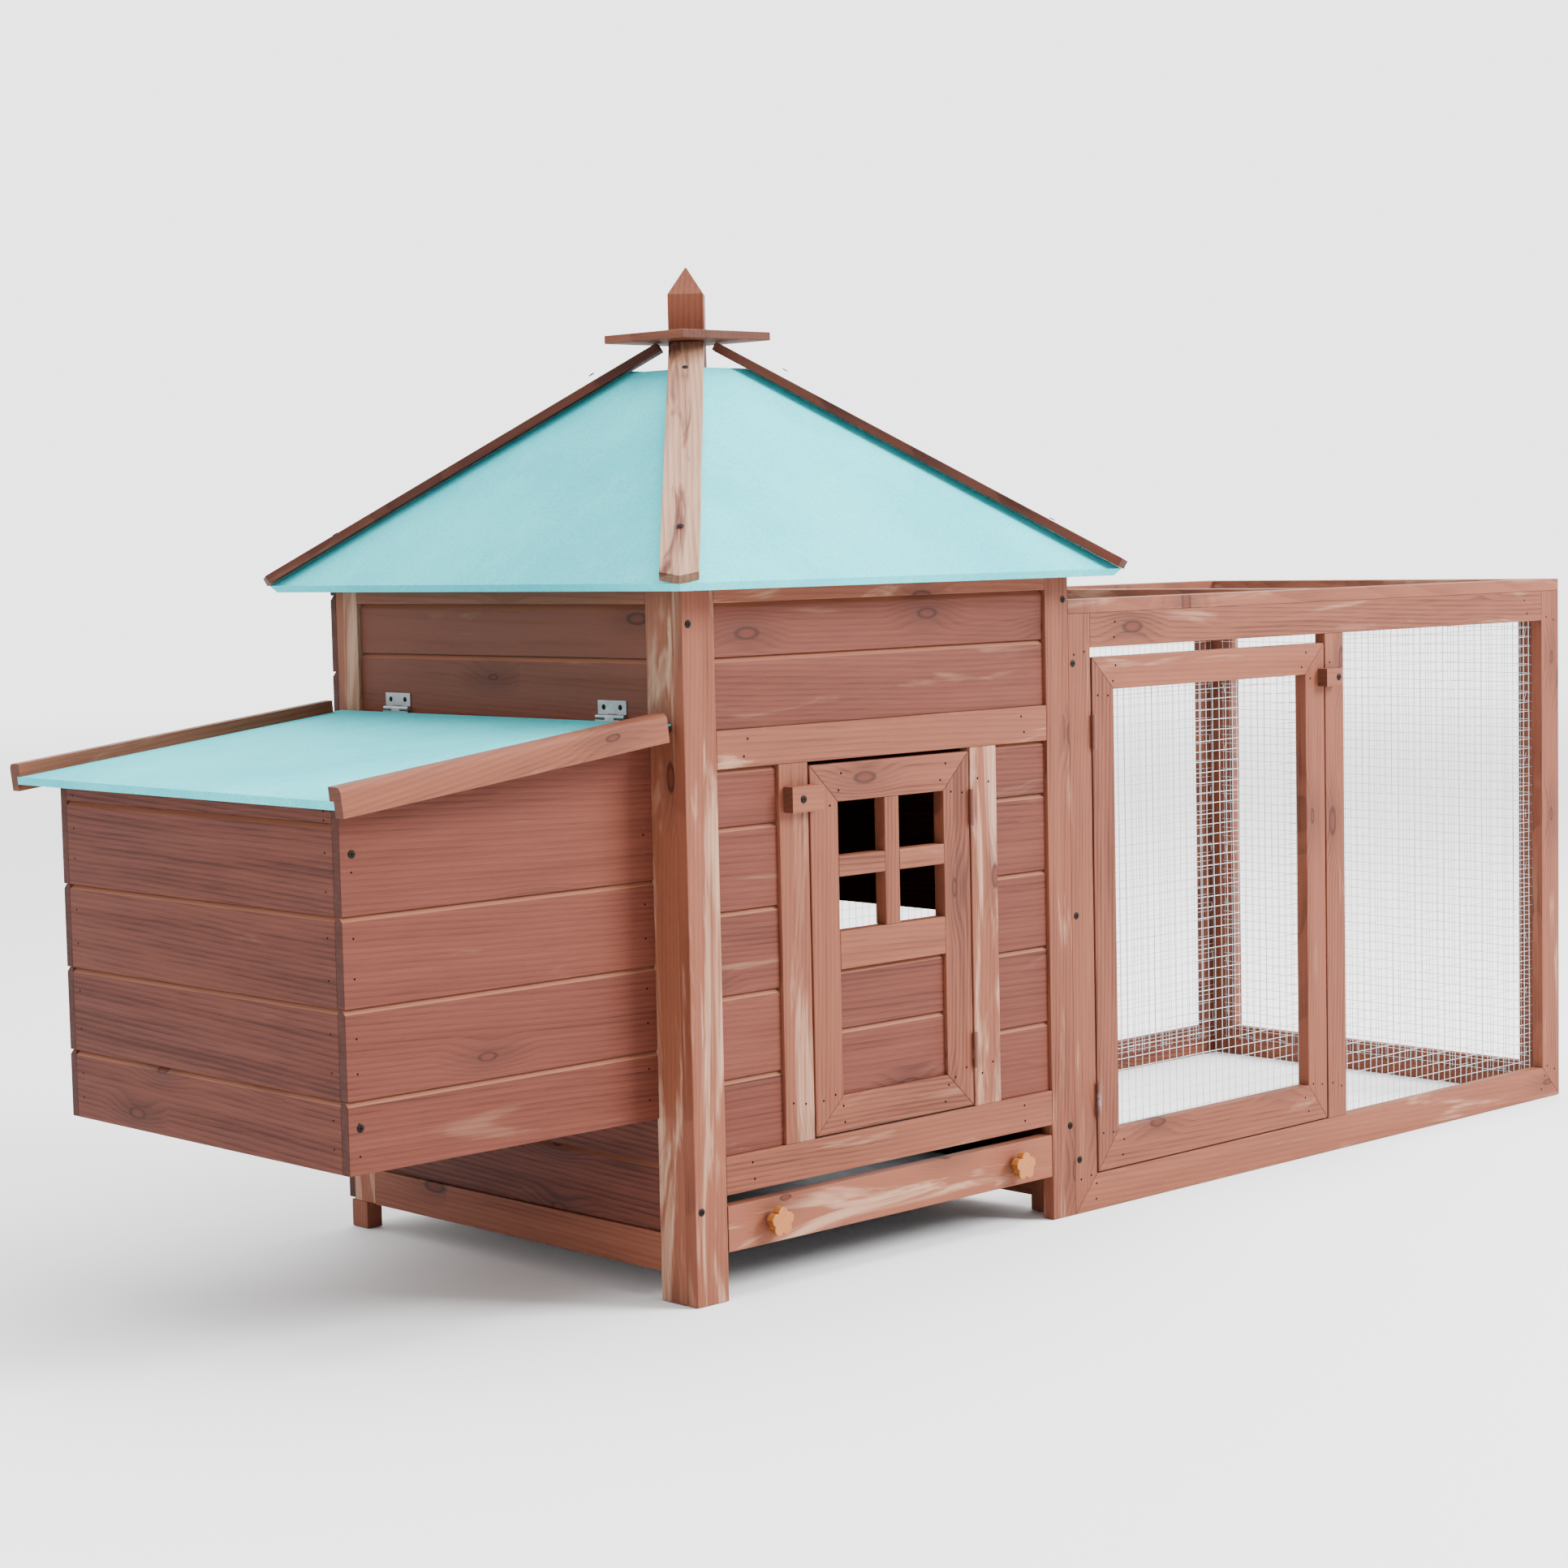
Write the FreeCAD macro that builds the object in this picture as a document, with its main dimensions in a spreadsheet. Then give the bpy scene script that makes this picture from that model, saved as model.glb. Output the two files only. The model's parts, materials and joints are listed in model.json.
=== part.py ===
"""Flat-pack chicken coop: hip-roofed house, side nest box, droppings drawer and wire-mesh run.

Frame: +Z up, the ground at Z = 0, +X along the front towards the run, +Y towards the back.
The origin is on the ground where the house meets the run, at half the depth of the coop.
Every driving dimension is a cell of the sheet "dims", in millimetres.
"""
import FreeCAD
import Part
import Sketcher
import math
import os
import re

DIMENSIONS = {
    # overall
    "house_len": 560, "run_len": 960, "depth": 575, "side_depth": 565,
    "plank": 15, "board_thick": 11, "board_recess": 4, "board_pitch": 83, "board_bevel": 5,
    "left_top": 730, "right_top": 720, "top_rail_low": 687,
    # house framing
    "front_stile": 42, "front_stile_run": 37, "side_stile": 38,
    "left_rail_low": 29, "right_rail_low": 17, "rail_wide": 39, "wall_joint": 634,
    "mid_rail_low": 525, "mid_rail_high": 563, "low_rail_low": 105, "low_rail_high": 143,
    "jamb_left": 124, "jamb_wide": 40,
    "rear_low": 32, "rear_board": 10,
    "foot_high": 30, "foot_wide": 28, "foot_deep": 20, "foot_back": 4,
    "pop_low": 136, "pop_high": 325, "pop_front": 130, "pop_wide": 320,
    "perch_thick": 30, "perch_low": 236, "perch_side": 80,
    # house door
    "door_left": 166.4, "door_wide": 232.4, "door_low": 145, "door_high": 521,
    "door_frame": 39, "door_foot": 37, "pane_low": 350, "muntin": 21, "panel_high": 311, "panel_joint": 250,
    # nest box
    "nest_out": 371, "nest_front": 50, "nest_wide": 475, "nest_low": 182, "nest_floor": 9,
    "nest_floor_rise": 4, "nest_first": 68, "nest_pitch": 84, "nest_joints": 3, "nest_top_gap": 0.3,
    "batten": 20, "nest_entry": 219, "divider_high": 235,
    "lid_out": 401.03, "lid_front": 4.5, "lid_wide": 566, "lid_slope": 6.6, "lid_wall": 564, "lid_gap": 1.21,
    "lid_panel": 6.4, "felt": 1.6, "lid_rail": 18, "lid_tongue": 12, "lid_drop": 7, "lid_rise": 13,
    "lid_rail_gap": 15.5, "lid_round": 6, "felt_gap": 0.1,
    # roof
    "roof_axis": 274, "roof_half_x": 312, "roof_half_y": 329, "eave_low": 701.6, "apex_low": 954.8,
    "roof_panel": 8, "roof_vent": 40, "hip_gap": 0.1, "hip_margin": 20,
    "hip_wide": 38, "hip_thick": 9.5, "hip_nose": 7.6, "hip_reach": 466, "hip_end": 27.5,
    "hip_low": 707.2, "hip_high": 951.8,
    "finial": 38.6, "finial_plate": 127, "plate_low": 961, "plate_thick": 9, "block_low": 925,
    "finial_shoulder": 1011.5, "finial_tip": 1041, "tip_flat": 1.2,
    # droppings drawer
    "tray_low": 48, "tray_high": 94, "tray_gap": 1,
    "pan_low": 54, "pan_high": 88, "pan_deep": 520, "pan_gap": 0.3,
    "sheet_steel": 1, "runner_low": 38, "runner_wide": 45, "knob_spread": 180, "knob_high": 71,
    "knob_lobe": 6.5, "knob_ring": 8.5, "knob_core": 7, "knob_depth": 16, "knob_neck": 7,
    # run
    "run_frame": 36, "run_rail": 40, "run_high": 660, "run_top_rail": 38, "run_stile_end": 39,
    "run_door_wide": 419, "run_door_low": 41.5, "run_door_high": 611,
    "run_door_foot": 44, "post_left": 460, "post_wide": 36,
    "mesh_thick": 0.3, "mesh_lap": 18, "mesh_end_gap": 2,
    # hardware
    "leaf": 1.1, "knuckle": 2.6, "knuckle_gap": 0.1, "knuckle_tab": 1, "leaf_gap": 0.3, "leaf_play": 0.2,
    "pin": 1.2, "pin_play": 0.05, "leaf_deep": 13,
    "door_hinge": 38, "house_hinge_inset": 40, "run_hinge_inset": 62,
    "nest_hinge": 43, "nest_leaf": 16, "nest_leaf_drop": 14, "nest_axis_rise": 12,
    "nest_hinge_front": 88, "nest_hinge_rear": 440,
    "button_thick": 13, "button_play": 0.3,
    "house_button_along": 145, "house_button_level": 489.5, "house_button_left": 15,
    "house_button_long": 43, "house_button_high": 26,
    "run_button_along": 9, "run_button_level": 570.5, "run_button_left": 23,
    "run_button_long": 31, "run_button_high": 21,
    "screw_shank": 2, "screw_head": 4, "screw_rise": 0.8, "screw_inset": 8, "run_screw_inset": 7,
    "left_screw_low": 94, "left_screw_high": 668, "right_screw_low": 100, "right_screw_high": 676,
    "run_screw_low": 60, "run_screw_middle": 330, "run_screw_high": 606,
    "nest_screw_inset": 13, "nest_screw_low": 225, "nest_screw_high": 474,
}

doc = FreeCAD.newDocument("coop")
sheet = doc.addObject("Spreadsheet::Sheet", "dims")
for row, (alias, number) in enumerate(DIMENSIONS.items(), start=1):
    sheet.set(f"A{row}", alias)
    sheet.set(f"B{row}", str(number))
    sheet.setAlias(f"B{row}", alias)
doc.recompute()

ALIAS = re.compile(r"\b(" + "|".join(sorted(DIMENSIONS, key=len, reverse=True)) + r")\b")
CLOSE = 1e-6
NODES = {}


def size(alias):
    """The number a cell holds."""
    return float(sheet.get(alias))


def bound(expression):
    """The same expression with every alias pointing at the sheet."""
    return ALIAS.sub(r"dims.\1", str(expression))


def value(expression):
    """What an expression of cells comes to, in millimetres."""
    return float(sheet.evalExpression(ALIAS.sub(lambda m: str(size(m.group(1))), str(expression))))


def place(item, x, y, z, rotation=None):
    """Bind an object's position to the sheet, and turn it if asked."""
    if rotation is not None:
        item.Placement = FreeCAD.Placement(FreeCAD.Vector(0, 0, 0), rotation)
    for axis, expression in zip("xyz", (x, y, z)):
        item.setExpression(f"Placement.Base.{axis}", bound(expression))
    return item


def box(x, y, z, dx, dy, dz, rotation=None):
    """A plank with its low corner at x, y, z."""
    item = doc.addObject("Part::Box", "plank")
    item.setExpression("Length", bound(dx))
    item.setExpression("Width", bound(dy))
    item.setExpression("Height", bound(dz))
    return place(item, x, y, z, rotation)


def cylinder(x, y, z, radius, height, direction="z"):
    """A round bar that starts at x, y, z and runs along an axis; "-y" runs towards the front."""
    turns = {"z": (1, 0, 0, 0), "y": (1, 0, 0, -90), "-y": (1, 0, 0, 90), "x": (0, 1, 0, 90)}
    *axis, angle = turns[direction]
    item = doc.addObject("Part::Cylinder", "bar")
    item.setExpression("Radius", bound(radius))
    item.setExpression("Height", bound(height))
    return place(item, x, y, z, FreeCAD.Rotation(FreeCAD.Vector(*axis), angle))


def cut(base, tool):
    """base less tool."""
    item = doc.addObject("Part::Cut", "cut")
    item.Base = base
    item.Tool = tool
    return item


def common(base, tool):
    """What base and tool share."""
    item = doc.addObject("Part::Common", "trimmed")
    item.Base = base
    item.Tool = tool
    return item


def fuse(*pieces):
    """One solid from several that overlap."""
    item = doc.addObject("Part::MultiFuse", "joined")
    item.Shapes = list(pieces)
    item.Refine = True
    return item


def node(label, *pieces):
    """Name a sub-part; several pieces stay separate solids of one node."""
    if len(pieces) == 1:
        item = pieces[0]
    else:
        item = doc.addObject("Part::Compound", "group")
        item.Links = list(pieces)
    item.Label = label
    NODES[label] = item
    return item


def origin_plane(body, role):
    """One of a body's own origin planes."""
    return next(plane for plane in body.Origin.OriginFeatures if plane.Role == role)


def prism(points, thick, x=0, y=0, z=0, plane="XZ_Plane", rotation=None):
    """A padded polygon; points are pairs of expressions.

    The pad runs to +Y from XZ_Plane, to +X from YZ_Plane and to +Z from XY_Plane."""
    body = doc.addObject("PartDesign::Body", "body")
    sketch = body.newObject("Sketcher::SketchObject", "outline")
    sketch.AttachmentSupport = [(origin_plane(body, plane), "")]
    sketch.MapMode = "FlatFace"
    corners = [FreeCAD.Vector(value(u), value(v), 0) for u, v in points]
    count = len(corners)
    for index in range(count):
        sketch.addGeometry(Part.LineSegment(corners[index], corners[(index + 1) % count]), False)
    for index in range(count):
        sketch.addConstraint(Sketcher.Constraint("Coincident", index, 2, (index + 1) % count, 1))
    for index, (u, v) in enumerate(points):
        pin_coordinate(sketch, index, "DistanceX", -2, u)
        pin_coordinate(sketch, index, "DistanceY", -1, v)
    pad = body.newObject("PartDesign::Pad", "pad")
    pad.Profile = sketch
    pad.Reversed = plane == "XZ_Plane"
    pad.setExpression("Length", bound(thick))
    return place(body, x, y, z, rotation)


def pin_coordinate(sketch, index, kind, axis, expression):
    """Hold one coordinate of a sketch corner at an expression of cells."""
    amount = value(expression)
    if abs(amount) < CLOSE:
        sketch.addConstraint(Sketcher.Constraint("PointOnObject", index, 1, axis))
        return
    number = sketch.addConstraint(Sketcher.Constraint(kind, -1, 1, index, 1, amount))
    sketch.setExpression(f"Constraints[{number}]", bound(expression))


def edge_names(item, test):
    """Numbers of the edges whose two ends pass a test."""
    doc.recompute()
    names = []
    for number, edge in enumerate(item.Shape.Edges, start=1):
        if all(test(vertex.Point) for vertex in edge.Vertexes):
            names.append(number)
    return names


def bevelled_board(x, y, z, dx, dy, dz, face):
    """A cladding board whose upper outside edge is bevelled; face is the outside, such as "-y"."""
    plank = box(x, y, z, dx, dy, dz)
    low = [value(x), value(y), value(z)]
    high = [low[0] + value(dx), low[1] + value(dy), low[2] + value(dz)]
    axis = "xyz".index(face[-1])
    outside = low[axis] if face[0] == "-" else high[axis]

    def on_edge(point):
        return abs(point[axis] - outside) < CLOSE and abs(point.z - high[2]) < CLOSE

    numbers = edge_names(plank, on_edge)
    board = doc.addObject("Part::Chamfer", "board")
    board.Base = plank
    board.Edges = [(number, size("board_bevel"), size("board_bevel")) for number in numbers]
    return board


def cladding(x, y, dx, dy, low, high, face, joint="wall_joint", pitch="board_pitch"):
    """Boards stacked from low to high, their joints a whole number of pitches from joint."""
    first = math.ceil((value(low) - value(joint)) / size(pitch) + CLOSE)
    last = math.floor((value(high) - value(joint)) / size(pitch) - CLOSE)
    levels = [low] + [f"{joint} + {pitch} * {step}" for step in range(first, last + 1)] + [high]
    return [bevelled_board(x, y, under, dx, dy, f"({over}) - ({under})", face)
            for under, over in zip(levels, levels[1:])]


def mitred_frame(x, y, z, wide, high, side, foot, head, thick="plank"):
    """Two stiles and two rails with mitred corners, lying in the XZ plane."""
    right = f"{wide} - {side}"
    top = f"{high} - {head}"
    outlines = [
        [("0", "0"), (side, foot), (side, top), ("0", high)],
        [(wide, "0"), (wide, high), (right, top), (right, foot)],
        [("0", "0"), (wide, "0"), (right, foot), (side, foot)],
        [("0", high), (side, top), (right, top), (wide, high)],
    ]
    return [prism(points, thick, x, y, z) for points in outlines]


# Shared positions, as expressions: X of the house's left face, Y of the front and back faces.
LEFT = "-house_len"
FRONT = "-depth / 2"
BACK = "depth / 2"
SIDE_BACK = "side_depth - depth / 2"
HINGE_GAP = "2 * (leaf + leaf_play)"
RUN_DOOR_LEFT = f"run_frame + {HINGE_GAP}"


def build_front_wall():
    """Stiles to the ground, three rails, door jambs and cladding let in between them."""
    inner_left = f"{LEFT} + front_stile"
    inner_wide = "house_len - front_stile - front_stile_run"
    node("front_stile_left", box(LEFT, FRONT, 0, "front_stile", "plank", "left_top"))
    node("front_stile_right", box("-front_stile_run", FRONT, 0, "front_stile_run", "plank", "right_top"))
    spans = [("low_rail_low", "low_rail_high"), ("mid_rail_low", "mid_rail_high"),
             ("top_rail_low", "left_top")]
    node("front_rails", *[box(inner_left, FRONT, low, inner_wide, "plank", f"{high} - {low}")
                          for low, high in spans])
    door_right = f"door_left + door_wide + {HINGE_GAP}"
    jamb_high = "mid_rail_low - low_rail_high"
    node("front_door_jambs", *[box(x, FRONT, "low_rail_high", "jamb_wide", "plank", jamb_high)
                               for x in (f"{LEFT} + jamb_left", f"{LEFT} + {door_right}")])
    face_y = f"{FRONT} + board_recess"
    boards = cladding(inner_left, face_y, inner_wide, "board_thick", "mid_rail_high", "top_rail_low", "-y")
    boards += cladding(inner_left, face_y, "jamb_left - front_stile", "board_thick",
                       "low_rail_high", "mid_rail_low", "-y")
    right_start = f"{door_right} + jamb_wide"
    boards += cladding(f"{LEFT} + {right_start}", face_y, f"house_len - front_stile_run - ({right_start})",
                       "board_thick", "low_rail_high", "mid_rail_low", "-y")
    node("front_boards", *boards)


def build_left_wall():
    """The wall that carries the nest box, open between its stiles where the hens step into the nest."""
    start = f"{FRONT} + plank"
    rear_stile = f"{SIDE_BACK} - side_stile"
    inner_y = f"{start} + side_stile"
    inner_wide = "side_depth - plank - 2 * side_stile"
    node("left_stiles", box(LEFT, start, 0, "plank", "side_stile", "left_top"),
         box(LEFT, rear_stile, "foot_high", "plank", "side_stile", "left_top - foot_high"))
    node("left_rails", box(LEFT, inner_y, "left_rail_low", "plank", inner_wide, "rail_wide"),
         box(LEFT, inner_y, "top_rail_low", "plank", inner_wide, "left_top - top_rail_low"))
    face_x = f"{LEFT} + board_recess"
    boards = []
    spans = [("left_rail_low + rail_wide", "nest_entry"), ("wall_joint - board_pitch", "top_rail_low")]
    for low, high in spans:
        boards += cladding(face_x, inner_y, "board_thick", inner_wide, low, high, "-x")
    node("left_boards", *boards)


def build_right_wall():
    """The wall between house and run, with the hens' doorway."""
    start = f"{FRONT} + plank"
    inner_y = f"{start} + side_stile"
    inner_wide = "side_depth - plank - 2 * side_stile"
    outer = "-plank"
    node("right_stiles", box(outer, start, 0, "plank", "side_stile", "right_top"),
         box(outer, f"{SIDE_BACK} - side_stile", "foot_high", "plank", "side_stile", "right_top - foot_high"))
    node("right_rails", box(outer, inner_y, "right_rail_low", "plank", inner_wide, "rail_wide"),
         box(outer, inner_y, "top_rail_low", "plank", inner_wide, "right_top - top_rail_low"))
    door_front = f"{FRONT} + pop_front"
    door_rear = f"{door_front} + pop_wide"
    before_door = f"{door_front} - ({inner_y})"
    behind_door = f"{inner_y} + {inner_wide} - ({door_rear})"
    boards = []
    for y, wide, low, high in ((inner_y, inner_wide, "right_rail_low + rail_wide", "pop_low"),
                               (inner_y, before_door, "pop_low", "pop_high"),
                               (door_rear, behind_door, "pop_low", "pop_high"),
                               (inner_y, inner_wide, "pop_high", "top_rail_low")):
        boards += cladding(outer, y, "board_thick", wide, low, high, "x")
    node("right_boards", *boards)


def build_rear_wall():
    """Boards nailed across the back on an inner frame, short feet under the rear corners."""
    inside = f"{SIDE_BACK} - plank"
    tall = "right_top - rear_low"
    stile_x = (f"{LEFT} + plank", "-plank - side_stile")
    pieces = [box(x, inside, "rear_low", "side_stile", "plank", tall) for x in stile_x]
    rail_wide = "house_len - 2 * plank - 2 * side_stile"
    pieces += [box(f"{LEFT} + plank + side_stile", inside, low, rail_wide, "plank", "rail_wide")
               for low in ("rear_low", "right_top - rail_wide")]
    foot_y = f"{BACK} - foot_back - foot_wide"
    pieces += [box(x, foot_y, 0, "foot_deep", "foot_wide", "foot_high") for x in (LEFT, "-foot_deep")]
    node("rear_frame", *pieces)
    node("rear_boards", *cladding(LEFT, SIDE_BACK, "house_len", "rear_board", "rear_low", "right_top", "y",
                                  joint="rear_low"))


def build_inside():
    """Perch from front to back and the battens that the drawer slides on."""
    node("perch", box("-perch_side - perch_thick", f"{FRONT} + plank", "perch_low",
                      "perch_thick", "side_depth - plank", "perch_thick"))
    start = f"{FRONT} + plank + side_stile"
    deep = "side_depth - plank - 2 * side_stile"
    high = "pan_low - pan_gap - runner_low"
    node("tray_runners", *[box(x, start, "runner_low", "runner_wide", deep, high)
                           for x in (f"{LEFT} + plank", "-plank - runner_wide")])


def build_drawer():
    """A folded steel pan behind a wooden front with two lobed knobs."""
    left = f"{LEFT} + front_stile + tray_gap"
    wide = "house_len - front_stile - front_stile_run - 2 * tray_gap"
    node("tray_front", box(left, FRONT, "tray_low", wide, "plank", "tray_high - tray_low"))
    back = f"{FRONT} + plank"
    outer = box(left, back, "pan_low", wide, "pan_deep", "pan_high - pan_low")
    hollow = box(f"{left} + sheet_steel", f"{back} + sheet_steel", "pan_low + sheet_steel",
                 f"{wide} - 2 * sheet_steel", "pan_deep - 2 * sheet_steel", "pan_high - pan_low")
    node("tray_pan", cut(outer, hollow))
    middle = f"{left} + ({wide}) / 2"
    node("tray_knobs", *[lobed_knob(f"{middle} + knob_spread * {side}") for side in (-1, 1)])


def lobed_knob(x):
    """A turned neck carrying a flower-shaped grip of five lobes."""
    lobes = 5
    pieces = [cylinder(x, FRONT, "knob_high", "knob_core", "knob_depth", "-y")]
    for lobe in range(lobes):
        angle = 90 + 360 * lobe / lobes
        pieces.append(cylinder(f"{x} + knob_ring * cos({angle} deg)", f"{FRONT} - knob_neck",
                               f"knob_high + knob_ring * sin({angle} deg)", "knob_lobe",
                               "knob_depth - knob_neck", "-y"))
    return fuse(*pieces)


def build_house_door():
    """Mitred frame, window with crossed glazing bars above, cladding panel below."""
    left = f"{LEFT} + door_left"
    node("house_door_frame", *mitred_frame(left, FRONT, "door_low", "door_wide", "door_high - door_low",
                                           "door_frame", "door_foot", "door_frame"))
    inner_x = f"{left} + door_frame"
    inner_wide = "door_wide - 2 * door_frame"
    pane_high = "door_high - door_frame - pane_low"
    bar_x = f"{inner_x} + ({inner_wide} - muntin) / 2"
    bar_z = f"pane_low + ({pane_high} - muntin) / 2"
    half = f"({inner_wide} - muntin) / 2"
    node("house_door_bars",
         box(inner_x, FRONT, "panel_high", inner_wide, "plank", "pane_low - panel_high"),
         box(bar_x, FRONT, "pane_low", "muntin", "plank", pane_high),
         box(inner_x, FRONT, bar_z, half, "plank", "muntin"),
         box(f"{bar_x} + muntin", FRONT, bar_z, half, "plank", "muntin"))
    node("house_door_boards", *cladding(inner_x, f"{FRONT} + board_recess", inner_wide, "board_thick",
                                        "door_low + door_foot", "panel_high", "-y", joint="panel_joint"))


def build_nest():
    """A clad box on the left wall: two sides, an end, a floor, corner battens and a divider."""
    out_x = f"{LEFT} - nest_out"
    side_y = (f"{FRONT} + nest_front", f"{FRONT} + nest_front + nest_wide - board_thick")
    top_joint = "nest_first + nest_pitch * (nest_joints - 1)"
    lid_rise = "tan(lid_slope * 1 deg)"
    for name, y, face in (("nest_front_side", side_y[0], "-y"), ("nest_rear_side", side_y[1], "y")):
        boards = cladding(out_x, y, "nest_out", "board_thick", "nest_low", f"nest_low + {top_joint}", face,
                          joint="nest_low + nest_first", pitch="nest_pitch")
        wall_high = f"lid_wall - nest_low - ({top_joint}) - nest_top_gap"
        gable = [("0", "0"), ("nest_out", "0"), ("nest_out", wall_high),
                 ("0", f"{wall_high} - nest_out * {lid_rise}")]
        boards.append(prism(gable, "board_thick", out_x, y, f"nest_low + {top_joint}"))
        node(name, *boards)
    inner_y = f"{side_y[0]} + board_thick"
    inner_wide = "nest_wide - 2 * board_thick"
    end_high = f"lid_wall - nest_out * {lid_rise} - nest_top_gap"
    node("nest_end", *cladding(out_x, inner_y, "board_thick", inner_wide, "nest_low", end_high, "-x",
                               joint="nest_low + nest_first", pitch="nest_pitch"))
    deep = "nest_out - board_thick"
    floor_low = "nest_low + nest_floor_rise"
    node("nest_floor", box(f"{out_x} + board_thick", inner_y, floor_low, deep, inner_wide, "nest_floor"))
    floor_top = f"{floor_low} + nest_floor"
    batten_high = f"{end_high} - ({floor_top}) - batten"
    node("nest_battens", *[box(f"{out_x} + board_thick", y, floor_top, "batten", "batten", batten_high)
                           for y in (inner_y, f"{inner_y} + {inner_wide} - batten")])
    middle_y = f"{inner_y} + ({inner_wide} - board_thick) / 2"
    node("nest_divider", box(f"{out_x} + board_thick", middle_y, floor_top, deep, "board_thick",
                             "divider_high"))


def build_lid():
    """Sloping felted lid between two rebated side rails."""
    slope = FreeCAD.Rotation(FreeCAD.Vector(0, 1, 0), -size("lid_slope"))

    def lid_point(along, lift):
        """X and Z of a point given along the slope from the wall and square to it."""
        return (f"{LEFT} + ({along}) * cos(lid_slope * 1 deg) - ({lift}) * sin(lid_slope * 1 deg)",
                f"lid_wall + ({along}) * sin(lid_slope * 1 deg) + ({lift}) * cos(lid_slope * 1 deg)")

    def slab(along, y, lift, dx, dy, dz):
        x, z = lid_point(along, lift)
        return box(x, y, z, dx, dy, dz, slope)

    inner_y = f"{FRONT} + lid_front + lid_tongue"
    inner_wide = "lid_wide - 2 * lid_tongue"
    long = "lid_out - felt - lid_gap"
    node("lid_panel", slab("felt - lid_out", inner_y, 0, long, inner_wide, "lid_panel"))
    node("lid_felt", fuse(slab("-lid_out", inner_y, "lid_panel", f"{long} + felt", inner_wide, "felt"),
                          slab("-lid_out", inner_y, 0, "felt", inner_wide, "lid_panel + felt")))
    groove = "lid_panel + felt + felt_gap"
    top = f"{groove} + lid_rise"
    foot = "-lid_drop"
    profile = [("0", foot), ("lid_tongue", foot), ("lid_tongue", groove),
               ("lid_rail", groove), ("lid_rail", top), ("0", top)]
    mirrored = [(f"-{across}", up) for across, up in reversed(profile)]
    x, z = lid_point("-lid_out", 0)
    rails = []
    for outline, y in ((profile, f"{FRONT} + lid_front"), (mirrored, f"{FRONT} + lid_front + lid_wide")):
        bar = prism(outline, "lid_out - lid_rail_gap", x, y, z, plane="YZ_Plane", rotation=slope)
        rails.append(round_top_edge(bar, value(y), value(top)))
    node("lid_rails", *rails)


def round_top_edge(bar, outer_y, lift):
    """Round the upper outside edge of a lid rail along its whole length; lift is that edge's own height."""
    doc.recompute()
    turned = bar.Placement.inverse()

    def on_edge(point):
        return abs(point.y - outer_y) < CLOSE and abs(turned.multVec(point).z - lift) < CLOSE

    numbers = edge_names(bar, on_edge)
    rounded = doc.addObject("Part::Fillet", "rail")
    rounded.Base = bar
    rounded.Edges = [(number, size("lid_round"), size("lid_round")) for number in numbers]
    return rounded


def build_roof():
    """Four slopes mitred at the hips, each a panel with felt over its eave; hip boards and a finial."""
    for name, turn in (("front", 0), ("rear", 180)):
        build_slope(name, turn, "roof_half_x", "roof_half_y")
    for name, turn in (("right", 90), ("left", -90)):
        build_slope(name, turn, "roof_half_y", "roof_half_x")
    build_hips()
    build_finial()


def build_slope(name, turn, across, run):
    """One side of the roof. across is half its eave, run its level distance from the eave to the axis."""
    pitch = math.degrees(math.atan2(value("apex_low - eave_low"), size(run)))
    facing = FreeCAD.Rotation(FreeCAD.Vector(0, 0, 1), turn)
    rotation = facing.multiply(FreeCAD.Rotation(FreeCAD.Vector(1, 0, 0), pitch))
    slant = f"({run} - roof_vent) * sqrt(1 + ((apex_low - eave_low) / {run}) ^ 2)"
    wide = f"({across} + hip_margin)"
    centre = f"{LEFT} + roof_axis"
    outwards = facing.multVec(FreeCAD.Vector(0, -1, 0))

    def sheet_at(low, high, thick, lift):
        """A piece of the slope between two distances up it, raised square to it."""
        normal = rotation.multVec(FreeCAD.Vector(0, 0, value(lift)))
        outline = [(f"-{wide}", low), (wide, low), (wide, high), (f"-{wide}", high)]
        return prism(outline, thick, f"{centre} + {run} * ({outwards.x:.6f}) + ({normal.x:.6f})",
                     f"{run} * ({outwards.y:.6f}) + ({normal.y:.6f})", f"eave_low + ({normal.z:.6f})",
                     plane="XY_Plane", rotation=rotation)

    def between_hips():
        """The upright wedge of space that belongs to this slope."""
        near = "roof_vent / 2"
        far = f"({run} + hip_margin)"
        corners = []
        for side, distance in ((1, near), (-1, near), (-1, far), (1, far)):
            corners.append((f"{side} * ({across} / {run} * {distance} - hip_gap)", f"-{distance}"))
        return prism(corners, "apex_low - eave_low + 2 * hip_margin", centre, "0", "eave_low - hip_margin",
                     plane="XY_Plane", rotation=facing)

    node(f"roof_panel_{name}", common(sheet_at("0", slant, "roof_panel", "0"), between_hips()))
    felt = fuse(sheet_at("0", slant, "felt", "roof_panel"), sheet_at("-felt", "0", "roof_panel + felt", "0"))
    node(f"roof_felt_{name}", common(felt, between_hips()))


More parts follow.
